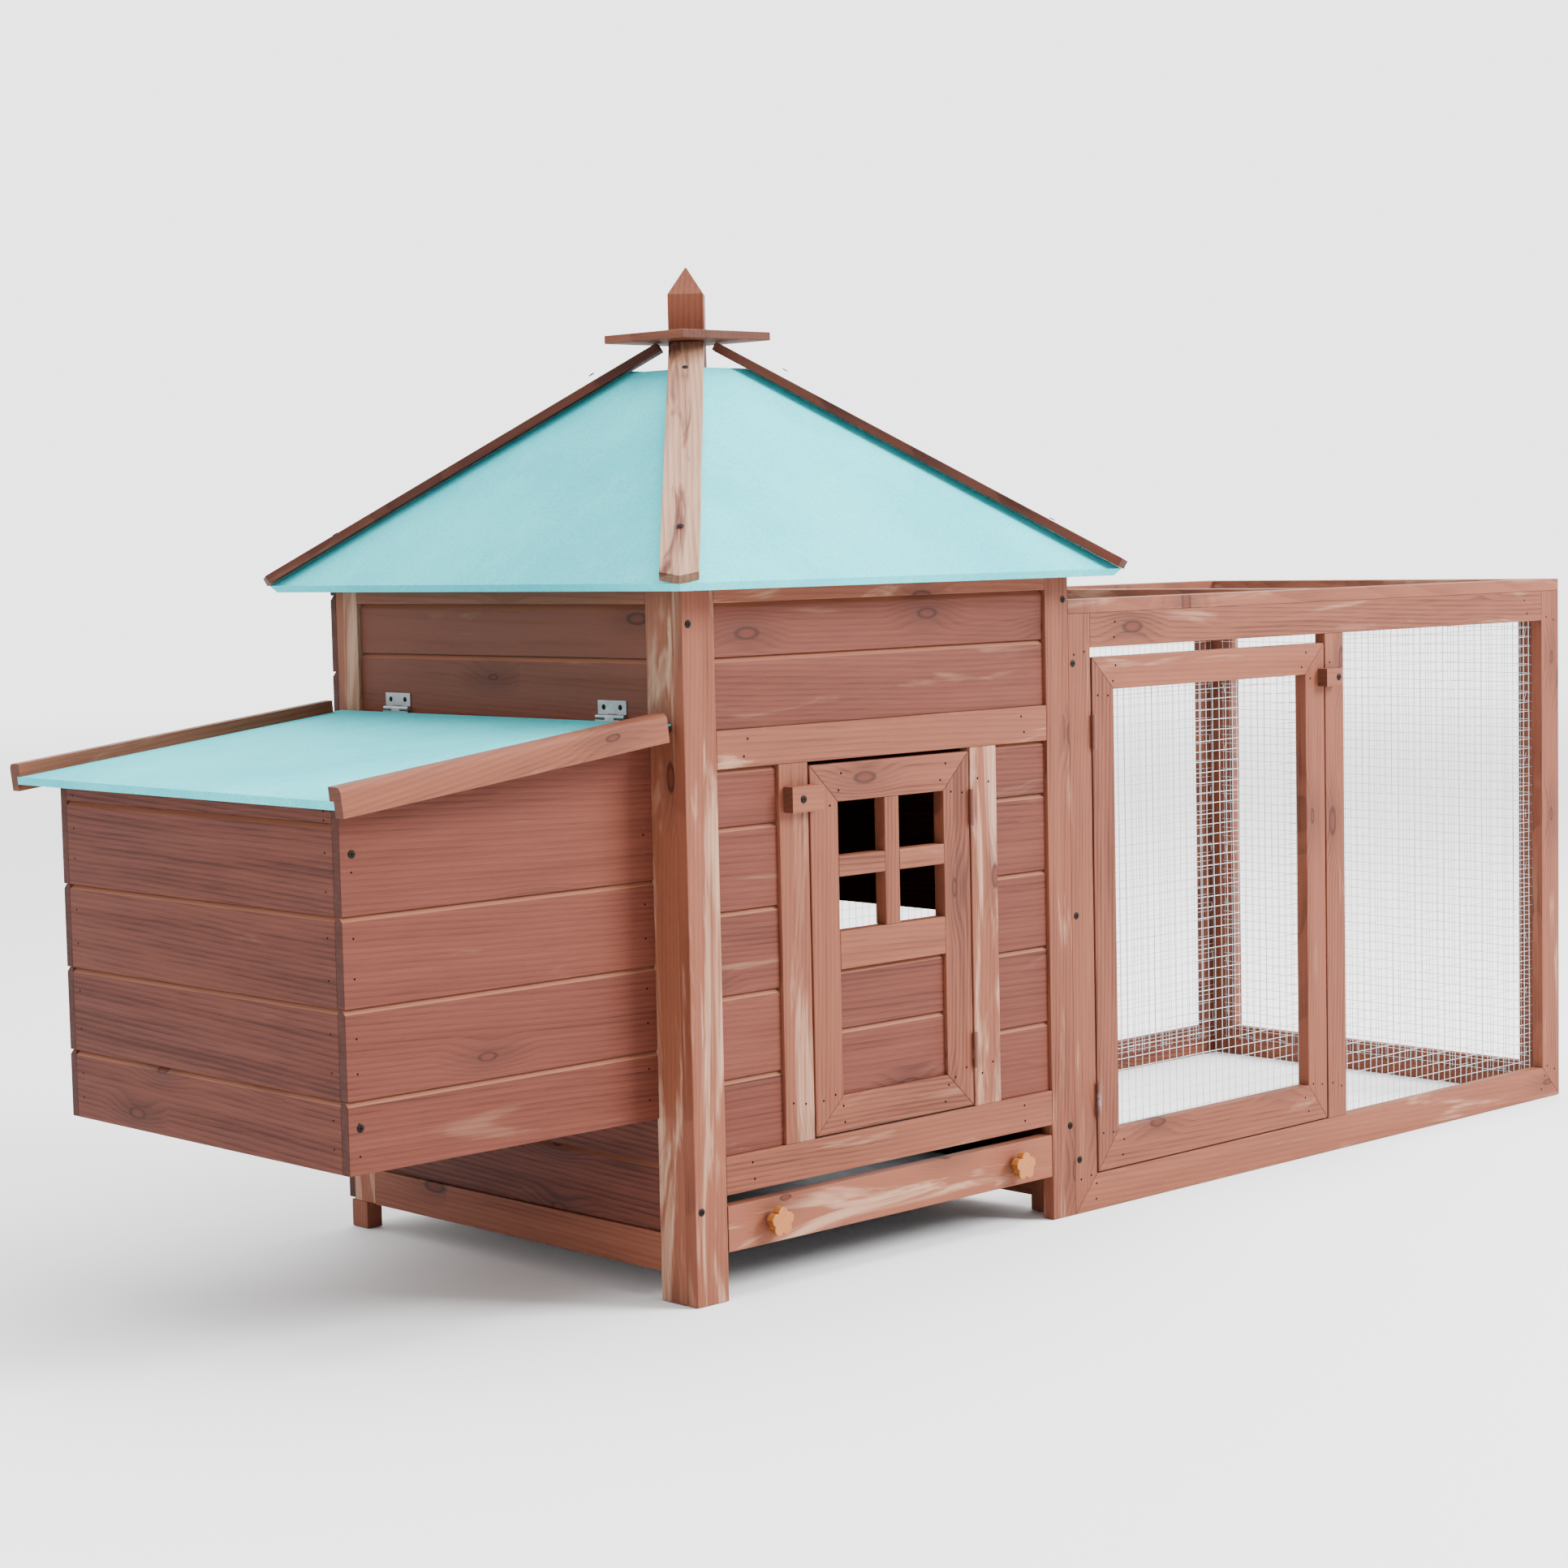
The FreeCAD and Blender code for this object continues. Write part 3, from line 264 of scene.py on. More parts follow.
def wood(name, light, middle, dark, pale=0.35, contrast=1.0, rough=0.62, coat=0.0, knots=0.3):
    """Stained softwood: rings, fibre, knots, pale worn streaks, end grain, paler bevels and a tone for each
    plank; the bevels are partly painted highlight, the plank tone is painted light and shade on some nodes,
    and the worn streaks on the near hip board are partly painted light.
    """
    shader = Shader(name)
    grain = attribute(shader, "grain")
    tint = attribute(shader, "tint", "Fac")

    wander = shader.noise(shader.stretch(grain, (1.6, 9.0, 9.0)), 1.0, 2.0, 0.5)
    sway = shader.swing(wander, PITH_SWAY)
    lean = shader.add("ShaderNodeSeparateXYZ")
    shader.link(grain, lean.inputs[0])
    along, across, deep = lean.outputs

    # knots: a sparse cell pattern along the board
    cells = shader.add("ShaderNodeTexVoronoi", voronoi_dimensions="2D", feature="F1")
    shader.link(shader.stretch(grain, KNOT_CYCLES), cells.inputs["Vector"])
    shader.link(1.0, cells.inputs["Scale"])
    pick = shader.add("ShaderNodeSeparateColor")
    shader.link(cells.outputs["Color"], pick.inputs[0])
    chosen = shader.math("GREATER_THAN", pick.outputs[0], 1 - knots)
    knot_size = shader.math("MULTIPLY_ADD", pick.outputs[1], KNOT_SPREAD)
    shader.link(KNOT_LEAST, knot_size.node.inputs[2])
    nearness = cells.outputs["Distance"]
    knot = shader.patches(nearness, shader.math("MULTIPLY", knot_size, 1.25),
                          shader.math("MULTIPLY", knot_size, 0.8), chosen)
    halo = shader.patches(nearness, 0.30, 0.03, chosen)

    # rings round a pith line that leans along the board, pushed aside by the knots
    push = shader.math("MULTIPLY", halo, KNOT_PUSH)
    lift = shader.math("MULTIPLY_ADD", along, PITH_LEAN)
    shader.link(sway, lift.node.inputs[2])
    side = shader.math("ADD", shader.math("ADD", across, lift), push)
    depth = shader.math("ADD", deep, shader.math("MULTIPLY", sway, 0.6))
    pith = shader.math("ADD", depth, PITH_DEPTH)
    radius = shader.math("SQRT", shader.math("ADD", shader.math("MULTIPLY", side, side),
                                             shader.math("MULTIPLY", pith, pith)))
    turns = shader.math("FRACT", shader.math("DIVIDE", radius, RING_PITCH))
    late = shader.math("MULTIPLY", shader.ramp(turns, 0.25, 0.92), shader.ramp(turns, 1.0, 0.94))

    fibre = shader.noise(shader.stretch(grain, (14.0, 520.0, 520.0)), 1.0, 4.0, 0.62)
    streak = shader.noise(shader.stretch(grain, (2.2, 70.0, 70.0)), 1.0, 3.0, 0.55)
    blotch = shader.noise(shader.stretch(grain, (3.0, 10.0, 10.0)), 1.0, 3.0, 0.6)
    pores = shader.noise(shader.stretch(grain, (60.0, 1400.0, 1400.0)), 1.0, 2.0, 0.6)

    tone = shader.math("MULTIPLY_ADD", late, 0.30 * contrast)
    shader.link(shader.swing(fibre, 0.80 * contrast), tone.node.inputs[2])
    # each plank's tint shifts its tone; on some nodes that tint is painted light and shade
    for source, amount in ((streak, 0.95 * contrast), (tint, 0.42), (blotch, 0.80)):
        tone = shader.math("ADD", tone, shader.swing(source, amount))
    tone = shader.math("ADD", tone, 0.36, clamp=True)
    color = shader.mix(tone, light, middle)
    color = shader.mix(shader.patches(tone, 0.6, 1.0, 0.45), color, dark)
    color = shader.mix(shader.patches(pores, 0.60, 0.74, 0.22), color, dark)

    # stain worn thin in long pale streaks, on the near hip board partly painted light
    wear = attribute(shader, "wear", "Fac")
    reach = shader.math("SUBTRACT", 0.62, shader.math("MULTIPLY", wear, 0.17))
    patchy = shader.noise(shader.stretch(grain, (3.6, 30.0, 30.0)), 1.0, 4.0, 0.62, 0.9)
    worn = shader.ramp(patchy, reach, shader.math("ADD", reach, 0.15))
    thinned = shader.math("ADD", shader.math("MULTIPLY", wear, 0.55), pale)
    amount = shader.math("MULTIPLY", worn, thinned, clamp=True)
    bare = shader.mix(tone, BARE_PALE, BARE_DARK)
    color = shader.mix(amount, color, bare)

    # sloping bevel faces are painted paler, partly thinner stain and partly painted highlight of the light
    # they catch; end grain drinks more stain
    slope_stain_and_highlight = attribute(shader, "slope_stain_and_highlight", "Fac")
    color = shader.mix(shader.math("MULTIPLY", slope_stain_and_highlight, 0.55), color, SLOPE_STAIN_AND_HIGHLIGHT)
    end = attribute(shader, "end", "Fac")
    color = shader.mix(shader.math("MULTIPLY", end, 0.62), color, dark)

    # knot: red-brown heart with a darker rim
    rim = shader.ramp(nearness, shader.math("MULTIPLY", knot_size, 0.45), knot_size)
    heart = shader.mix(rim, KNOT_HEART, KNOT_RIM)
    color = shader.mix(shader.math("MULTIPLY", halo, 0.32), color, dark)
    color = shader.mix(shader.math("MULTIPLY", knot, 0.88), color, heart)

    height = shader.math("ADD", shader.math("MULTIPLY", fibre, 0.55), shader.math("MULTIPLY", late, 0.30))
    height = shader.math("ADD", height, shader.math("MULTIPLY", pores, -0.35))
    height = shader.math("SUBTRACT", height, shader.math("MULTIPLY", knot, 0.5))
    warp = shader.bump(blotch, 0.25, 0.002)
    normal = shader.bump(height, 0.45, 0.0006, warp)
    gloss = shader.math("ADD", shader.math("MULTIPLY", streak, 0.22), rough - 0.11)
    return shader.finish(color, gloss, normal, specular=0.18, coat=coat)


def felt(name):
    """Mineral roofing felt: pressed granules on bitumen, and soft stains where rain has run."""
    shader = Shader(name)
    place = shader.add("ShaderNodeTexCoord").outputs["Object"]
    granule = shader.add("ShaderNodeTexVoronoi", feature="F1")
    shader.link(place, granule.inputs["Vector"])
    shader.link(GRANULE_CYCLES, granule.inputs["Scale"])
    speck = shader.add("ShaderNodeSeparateColor")
    shader.link(granule.outputs["Color"], speck.inputs[0])
    cloud = shader.noise(place, 5.0, 4.0, 0.6)
    mottle = shader.noise(place, 160.0, 3.0, 0.6)
    run = shader.noise(shader.stretch(place, (26.0, 26.0, 3.0)), 1.0, 3.0, 0.6)
    color = shader.mix(shader.ramp(cloud, 0.3, 0.7), rgb(38, 182, 194), rgb(66, 202, 211))
    color = shader.mix(shader.math("MULTIPLY", speck.outputs[0], 0.30), color, rgb(108, 218, 223))
    color = shader.mix(shader.patches(speck.outputs[1], 0.80, 1.0, 0.42), color, rgb(34, 130, 138))
    color = shader.mix(shader.patches(mottle, 0.50, 0.75, 0.20), color, rgb(56, 170, 178))
    color = shader.mix(shader.patches(run, 0.52, 0.80, 0.16), color, rgb(140, 224, 224))
    grit = shader.math("SUBTRACT", 1.0, shader.ramp(granule.outputs["Distance"], 0.0, 0.55))
    ripple = shader.bump(cloud, 0.35, 0.004)
    normal = shader.bump(grit, 0.55, 0.0004, ripple)
    return shader.finish(color, 0.88, normal, specular=0.25)


def metal(name, base, stain, rough, spangle, scale, dull=0.35, over=None):
    """Galvanised or plated steel: crystal spangle, fine scratches and dull patches.

    over is the colour of stain brushed over the steel."""
    shader = Shader(name)
    place = shader.add("ShaderNodeTexCoord").outputs["Object"]
    crystal = shader.add("ShaderNodeTexVoronoi", feature="F1")
    shader.link(shader.vector("ADD", place, CRYSTAL_SHIFT), crystal.inputs["Vector"])
    shader.link(scale, crystal.inputs["Scale"])
    facet = shader.add("ShaderNodeSeparateColor")
    shader.link(crystal.outputs["Color"], facet.inputs[0])
    patch = shader.noise(place, 38.0, 4.0, 0.62)
    scratch = shader.noise(shader.stretch(place, (900.0, 60.0, 900.0)), 1.0, 2.0, 0.5)
    color = shader.mix(shader.math("MULTIPLY", facet.outputs[0], spangle), base, stain)
    color = shader.mix(shader.patches(patch, 0.48, 0.72, dull), color, stain)
    gloss = shader.math("ADD", shader.math("MULTIPLY", patch, 0.28), rough - 0.12)
    gloss = shader.math("ADD", gloss, shader.math("MULTIPLY", scratch, 0.08))
    normal = shader.bump(scratch, 0.12, 0.0002)
    if over is None:
        return shader.finish(color, gloss, normal, metallic=METALLIC)
    brushed = shader.math("MULTIPLY", attribute(shader, "wear", "Fac"), shader.ramp(patch, 0.28, 0.40))
    color = shader.mix(brushed, color, over)
    return shader.finish(color, gloss, normal, metallic=shader.ramp(brushed, 0.0, 1.0, METALLIC, 0.1))


def stage_surface(name, color):
    """A plain pale floor that melts into the surroundings far away."""
    shader = Shader(name)
    place = shader.add("ShaderNodeTexCoord").outputs["Object"]
    faint = shader.noise(place, 1.2, 2.0, 0.5)
    shade = shader.mix(shader.math("MULTIPLY", faint, 0.08), color, rgb(236, 236, 238))
    shader.finish(shade, 0.7, specular=0.2)
    reach = shader.add("ShaderNodeVectorMath", operation="LENGTH")
    shader.link(place, reach.inputs[0])
    outwards = shader.add("ShaderNodeVectorMath", operation="NORMALIZE")
    shader.link(place, outwards.inputs[0])
    glow = shader.add("ShaderNodeEmission")
    shader.link(surroundings(shader, outwards.outputs[0]), glow.inputs["Strength"])
    blend = shader.add("ShaderNodeMixShader")
    shader.link(shader.ramp(reach.outputs["Value"], 3.5, 12.0), blend.inputs[0])
    shader.link(shader.surface.outputs[0], blend.inputs[1])
    shader.link(glow.outputs[0], blend.inputs[2])
    shader.link(blend.outputs[0], shader.output.inputs["Surface"])
    return shader.material


def surroundings(shader, direction):
    """How bright the white surroundings are in a direction: dimmer on the house's left."""
    facing = shader.add("ShaderNodeVectorMath", operation="DOT_PRODUCT")
    shader.link(direction, facing.inputs[0])
    shader.link((0.70, 0.70, 0.10), facing.inputs[1])
    return shader.ramp(facing.outputs["Value"], -0.7, 0.8, 0.62, 3.2)


MATERIALS = {
    "stained_frame": wood("stained_frame", rgb(122, 70, 50), rgb(94, 49, 34), rgb(47, 21, 14), knots=0.42),
    "stained_boards": wood("stained_boards", rgb(101, 52, 38), rgb(72, 31, 22), rgb(36, 13, 9), pale=0.16),
    "roof_plywood": wood("roof_plywood", rgb(92, 48, 34), rgb(66, 30, 20), rgb(34, 13, 9), pale=0.2),
    "knob_pine": wood("knob_pine", rgb(160, 97, 42), rgb(138, 76, 30), rgb(84, 40, 16), pale=0.1,
                      contrast=0.8, rough=0.42, coat=0.25),
    "roof_felt": felt("roof_felt"),
    "wire_mesh": metal("wire_mesh", rgb(200, 201, 203), rgb(160, 161, 163), rough=0.5, spangle=0.2,
                      scale=260.0),
    "pan_steel": metal("pan_steel", rgb(74, 76, 79), rgb(48, 50, 53), rough=0.5, spangle=0.55, scale=70.0),
    "zinc_hinge": metal("zinc_hinge", rgb(158, 160, 164), rgb(108, 108, 110), rough=0.36, spangle=0.25,
                        scale=240.0, over=rgb(96, 50, 35)),
    "screw_steel": metal("screw_steel", rgb(34, 29, 27), rgb(20, 16, 14), rough=0.5, spangle=0.3, scale=400.0,
                         dull=0.7),
    # painted shade: near-black for the screw heads' cross recesses, drawn as thin flat crosses, and for the
    # finishing nails' heads in their sunk holes
    "recess_shade": metal("recess_shade", rgb(18, 15, 14), rgb(10, 8, 7), rough=0.7, spangle=0.2, scale=400.0),
}


# ---------------------------------------------------------------- rounded copies of the CAD solids

def sides_of(corners):
    """The start and end of each side of a face."""
    return zip(corners, corners[1:] + corners[:1])


def closed_solids(node):
    """The node's triangles, gathered into the closed solids they belong to."""
    mesh = frame["nodes"][node].data
    points = [tuple(round(part, 6) for part in vertex.co) for vertex in mesh.vertices]
    mesh.calc_loop_triangles()
    solids = []
    open_edges = set()
    current = []
    for triangle in mesh.loop_triangles:
        corners = [points[index] for index in triangle.vertices]
        if len(set(corners)) < 3:
            continue
        current.append(corners)
        for start, end in sides_of(corners):
            if (end, start) in open_edges:
                open_edges.remove((end, start))
            else:
                open_edges.add((start, end))
        if not open_edges:
            solids.append(current)
            current = []
    if current:
        solids.append(current)
    return solids


def face_area(corners):
    """A vector along a triangle's normal, as long as twice its area."""
    first, second, third = (Vector(corner) for corner in corners)
    return (second - first).cross(third - first)


def facing(normal):
    """The same key for all faces that lie parallel."""
    return tuple(round(abs(part), 2) for part in normal)


def grain_axes(solid, way=None):
    """Directions along, across and through a plank: its longest edge, and its broadest face's normal.

    way is "level" or "upright" where the plank's grain is known to lie so."""
    edges = [Vector(end) - Vector(start) for corners in solid for start, end in sides_of(corners)]
    faces = [face_area(corners) for corners in solid]
    normals = [face.normalized() for face in faces]
    areas = {}
    for face, normal in zip(faces, normals):
        areas[facing(normal)] = areas.get(facing(normal), 0) + face.length
    flat = max(normals, key=lambda normal: areas[facing(normal)])
    in_plane = [edge for edge in edges if abs(edge.normalized().dot(flat)) < SQUARE]
    if way == "level":
        in_plane = [edge for edge in in_plane if abs(edge.normalized().z) < SQUARE] or in_plane
    if way == "upright":
        in_plane = [edge for edge in in_plane if abs(edge.normalized().z) > 1 - SQUARE] or in_plane
    rims = [edge for edge in in_plane if is_rim(edge, normals)]
    along = max(rims or in_plane or edges, key=lambda edge: edge.length).normalized()
    through = (flat - along * flat.dot(along)).normalized()
    return along, through.cross(along), through


def is_rim(edge, normals):
    """True for an edge that runs along two faces at once, so a diagonal across a flat face is left out."""
    direction = edge.normalized()
    return len({facing(normal) for normal in normals if abs(normal.dot(direction)) < RIM_SQUARE}) > 1


def way_of(node):
    """Which way a node's grain lies, where its longest edge doesn't say."""
    if node == "finial_post":
        return "upright"
    if SLOT_OF[node] == "stained_boards" and node != "hip_boards":
        return "level"
    return None


def wear_of(node, middle):
    """How far the stain has worn through, on the near hip board partly painted light as well; on hinges, how
    far the zinc is stained over like the doors.
    """
    if node == "hip_boards":
        return NEAR_HIP_WEAR_AND_LIGHT if middle.x < ROOF_MIDDLE_X and middle.y < 0 else HIP_WEAR
    if SLOT_OF[node] == "zinc_hinge":
        return 1.0 if middle.x > LEFT_WALL_X else 0.0
    return WEAR.get(node, 0.0) * rng.uniform(0.7, 1.2)


def stain_and_light_shade_of(node, middle):
    """How far a plank leans to dark (above 0.5) or pale (below): its stain's tone, and on some nodes painted
    light and shade as well.
    """
    low, high = STAIN_AND_LIGHT_SHADES.get(node, (0.0, 1.0))
    if node == "left_boards" and middle.z < NEST_BOTTOM_Z:
        low, high = LOW_LEFT_PAINTED_SHADE
    return rng.uniform(low, high)


def add_solid(shape, solid, layers, node):
    """Add one solid to a bmesh with its grain, tint and wear, its end and sloping faces marked.

    The triangles of each flat face are joined again."""
    grain_layer, tint_layer, wear_layer, end_layer, slope_stain_and_highlight_layer = layers
    offset = Vector((rng.uniform(-40, 40), rng.uniform(-0.03, 0.03), rng.uniform(-0.02, 0.02)))
    along, across, through = grain_axes(solid, way_of(node))
    middle = sum((Vector(corner) for corners in solid for corner in corners), Vector()) / (3 * len(solid))
    wear = wear_of(node, middle)
    tint = stain_and_light_shade_of(node, middle)
    made = {}
    faces = []
    for corners in solid:
        loop = []
        for corner in corners:
            if corner not in made:
                vertex = shape.verts.new(corner)
                local = vertex.co - middle
                place = Vector((local.dot(along), local.dot(across), local.dot(through)))
                vertex[grain_layer] = place + offset
                vertex[tint_layer] = tint
                vertex[wear_layer] = wear
                made[corner] = vertex
            loop.append(made[corner])
        face = shape.faces.new(loop)
        face.normal_update()
        face[end_layer] = 1.0 if abs(face.normal.dot(along)) > 0.7 else 0.0
        # the boards' sloping bevels are marked for the paler colour that is partly painted highlight
        sloping = 0.15 < abs(face.normal.dot(through)) < 0.95 and SLOT_OF[node] == "stained_boards"
        face[slope_stain_and_highlight_layer] = 1.0 if sloping and node != "hip_boards" else 0.0
        faces.append(face)
    edges = dict.fromkeys(edge for face in faces for edge in face.edges)
    bmesh.ops.dissolve_limit(shape, angle_limit=math.radians(0.6), verts=list(made.values()),
                             edges=list(edges))


def rounded_copy(node, width):
    """A copy of a CAD node with softened edges, grain along every plank and its slot's finish."""
    shape = bmesh.new()
    layers = [shape.verts.layers.float_vector.new("grain")]
    layers += [shape.verts.layers.float.new(name) for name in ("tint", "wear")]
    layers += [shape.faces.layers.float.new(name) for name in ("end", "slope_stain_and_highlight")]
    for solid in closed_solids(node):
        add_solid(shape, solid, layers, node)
    mesh = bpy.data.meshes.new(f"{node}_look")
    shape.to_mesh(mesh)
    shape.free()
    mesh.shade_smooth()
    piece = bpy.data.objects.new(f"{node}_look", mesh)
    bpy.context.scene.collection.objects.link(piece)
    bevel = piece.modifiers.new("soft edges", "BEVEL")
    bevel.width = width
    bevel.segments = 2
    bevel.limit_method = "ANGLE"
    bevel.angle_limit = math.radians(28)
    bevel.harden_normals = True
    slot = SLOT_OF[node]
    mesh.materials.append(MATERIALS[slot])
    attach(piece, BODY_OF[node])
    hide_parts(node)


# ---------------------------------------------------------------- wire, staples, screws, nails

class Builder:
    """Collects simple shapes into one mesh."""

    def __init__(self, name):
        self.name = name
        self.points = []
        self.faces = []
        self.looks = []

    def ring(self, centre, side, other, radius, sides):
        """Points round a circle."""
        for step in range(sides):
            angle = 2 * math.pi * step / sides
            self.points.append(centre + (side * math.cos(angle) + other * math.sin(angle)) * radius)

    def skin(self, first, rings, sides, look):
        """Faces between one ring and the next, from the ring that starts at the point first."""
        for low in range(first, first + (rings - 1) * sides, sides):
            for step in range(sides):
                turn = (step + 1) % sides
                self.face([low + step, low + turn, low + sides + turn, low + sides + step], look)

    def tube(self, path, radius, sides=6):
        """A round bar swept through the points of a path, closed at both ends."""
        first = len(self.points)
        count = len(path)
        direction = (path[-1] - path[0]).normalized()
        side = direction.orthogonal().normalized()
        for index, point in enumerate(path):
            before, after = path[max(index - 1, 0)], path[min(index + 1, count - 1)]
            tangent = (after - before).normalized()
            side = (side - tangent * side.dot(tangent)).normalized()
            self.ring(point, side, tangent.cross(side), radius, sides)
        self.skin(first, count, sides, look=0)
        self.face([first + step for step in reversed(range(sides))], look=0)
        last = first + (count - 1) * sides
        self.face([last + step for step in range(sides)], look=0)

    def face(self, corners, look):
        self.faces.append(corners)
        self.looks.append(look)

    def lathe(self, centre, axis, profile, sides=20):
        """A turned shape: profile is pairs of radius and height along the axis, the last pair on the axis."""
        first = len(self.points)
        side = axis.orthogonal().normalized()
        other = axis.cross(side)
        for radius, height in profile[:-1]:
            self.ring(centre + axis * height, side, other, radius, sides)
        self.points.append(centre + axis * profile[-1][1])
        top = len(self.points) - 1
        rings = len(profile) - 1
        self.skin(first, rings, sides, look=0)
        low = first + (rings - 1) * sides
        for step in range(sides):
            self.face([low + step, low + (step + 1) % sides, top], look=0)
        self.face([first + step for step in reversed(range(sides))], look=0)

    def block(self, centre, along, across, up, size, look):
        """A small box with its own axes."""
        first = len(self.points)
        for height in (-0.5, 0.5):
            for one, two in ((-0.5, -0.5), (0.5, -0.5), (0.5, 0.5), (-0.5, 0.5)):
                self.points.append(centre + along * size[0] * one + across * size[1] * two
                                   + up * size[2] * height)
        for corners in ((3, 2, 1, 0), (4, 5, 6, 7), (0, 1, 5, 4), (1, 2, 6, 5), (2, 3, 7, 6), (3, 0, 4, 7)):
            self.face([first + corner for corner in corners], look)

    def build(self, body, slot, looks=None, replaces=()):
        mesh = bpy.data.meshes.new(self.name)
        mesh.from_pydata([tuple(point) for point in self.points], [], self.faces)
        mesh.update()
        mesh.shade_smooth()
        mesh.set_sharp_from_angle(angle=math.radians(40))
        piece = bpy.data.objects.new(self.name, mesh)
        bpy.context.scene.collection.objects.link(piece)
        for look in looks or (slot,):
            mesh.materials.append(MATERIALS[look])
        mesh.polygons.foreach_set("material_index", self.looks)
        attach(piece, body)
        if replaces:
            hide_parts(*replaces)


def plane_axes(inward):
    """Two directions in a mesh panel, the second as upright as it can be."""
    upright = Vector((0, 1, 0)) if abs(inward.z) > 0.5 else Vector((0, 0, 1))
    return upright.cross(inward), upright


def wire_panel(node, inward):
    """Welded square mesh in place of a CAD sheet, with the staples that hold it."""
    low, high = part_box(node)
    level, upright = plane_axes(inward)
    middle = (low + high) / 2
    size = high - low
    wide = abs(size.dot(level)) / 2
    tall = abs(size.dot(upright)) / 2
    seat = middle - inward * abs(size.dot(inward)) / 2
    wires = Builder(f"{node}_wires")
    for direction, other, reach, spread, layer in ((upright, level, tall, wide, 1),
                                                   (level, upright, wide, tall, 3)):
        count = int(2 * spread / MESH_PITCH)
        first = -count * MESH_PITCH / 2
        for number in range(count + 1):
            wires.tube(wire_path(seat, direction, other, reach, first + number * MESH_PITCH,
                                 inward * WIRE_RADIUS * layer), WIRE_RADIUS)
    wires.build(BODY_OF[node], "wire_mesh", replaces=(node,))
    staples = Builder(f"{node}_staples")
    for direction, other, reach, spread in ((upright, level, tall, wide), (level, upright, wide, tall)):
        staple_edges(staples, seat, direction, other, reach, spread, inward)
    staples.build(BODY_OF[node], "wire_mesh")


def wire_path(seat, direction, other, reach, place, depth):
    """The points of one wire, which bows a little sideways between its ends."""
    phase = rng.uniform(0, 6.28)
    sway = rng.uniform(0.0002, 0.0006)
    steps = max(6, int(reach / WIRE_STEP))
    path = []
    for step in range(steps + 1):
        share = -1 + 2 * step / steps
        bend = sway * math.sin(phase + 5.0 * share) * (1 - share * share)
        path.append(seat + direction * reach * share + other * (place + bend) + depth)
    return path


def staple_edges(builder, seat, direction, other, reach, spread, inward):
    """Staples along the panel's two edges that run one way."""
    count = max(2, int(2 * reach / STAPLE_STEP))
    for side in (-1, 1):
        for number in range(count):
            along = -reach + (number + 0.5) * 2 * reach / count + rng.uniform(-0.008, 0.008)
            centre = seat + direction * along + other * side * (spread - STAPLE_INSET)
            tilt = rng.uniform(-0.3, 0.3)
            crown = (direction * math.cos(tilt) + other * math.sin(tilt)) * STAPLE_HALF
            staple(builder, centre, crown, inward * STAPLE_RISE, inward * STAPLE_SINK)


def staple(builder, centre, crown, rise, sink):
    """A wire staple over the mesh, its legs driven into the frame."""
    builder.tube([centre - crown - sink, centre - crown + rise * 0.75, centre - crown * 0.9 + rise,
                  centre + crown * 0.9 + rise, centre + crown + rise * 0.75, centre + crown - sink],
                 STAPLE_RADIUS)


def screw(builder, centre, axis, radius=0.004, rise=SCREW_RISE):
    """A domed screw head with a thin flat cross in painted shade for its cross slot, a little turned from its
    neighbours.
    """
    profile = [(radius, -HEAD_SINK), (radius, rise * 0.35), (radius * 0.86, rise * 0.8),
               (radius * 0.5, rise), (0, rise)]
    builder.lathe(centre, axis, profile)
    angle = rng.uniform(0, math.pi / 2)
    side = axis.orthogonal().normalized()
    other = axis.cross(side)
    along = side * math.cos(angle) + other * math.sin(angle)
    across = axis.cross(along)
    # the cross slot is no hollow but a thin flat cross on the dome, in the second look's painted shade
    for one, two in ((along, across), (across, along)):
        builder.block(centre + axis * rise, one, two, axis, (radius * 1.15, radius * 0.26, 0.0001), look=1)


def brad(builder, centre, axis, radius=0.0011):
    """The small sunk head of a finishing nail."""
    builder.lathe(centre, axis, [(radius, -HEAD_SINK), (radius, NAIL_RISE), (0, NAIL_RISE)], sides=10)


def solid_box(solid):
    """The lowest and highest corner of a solid's box."""
    points = np.array([corner for corners in solid for corner in corners])
    return Vector(points.min(0)), Vector(points.max(0))


def cad_screws():
    """Detailed heads where the CAD screws are."""
    heads = Builder("screw_heads")
    for solid in closed_solids("screws"):
        low, high = solid_box(solid)
        size = high - low
        middle = (low + high) / 2
        if size.x < size.y and size.x < SIDE_HEAD_DEPTH:
            screw(heads, Vector((high.x - SCREW_RISE, middle.y, middle.z)), Vector((1, 0, 0)))
        else:
            screw(heads, Vector((middle.x, low.y + SCREW_RISE, middle.z)), Vector((0, -1, 0)))
    heads.build("coop", "screw_steel", looks=("screw_steel", "recess_shade"), replaces=("screws",))


def hip_screws():
    """Two screws in each hip board, square to its face."""
    heads = Builder("hip_board_screws")
    for solid in closed_solids("hip_boards"):
        along, _, through = grain_axes(solid)
        if through.z < 0:
            through = -through
        low, high = solid_box(solid)
        middle = (low + high) / 2
        downhill = along if along.z < 0 else -along
        surface = max(Vector(corner).dot(through) for corners in solid for corner in corners)
        for reach in HIP_SCREW_REACHES:
            spot = middle + downhill * reach
            spot += through * (surface - spot.dot(through))
            screw(heads, spot, through, HIP_SCREW_RADIUS, SMALL_SCREW_RISE)
    heads.build("coop", "screw_steel", looks=("screw_steel", "recess_shade"))


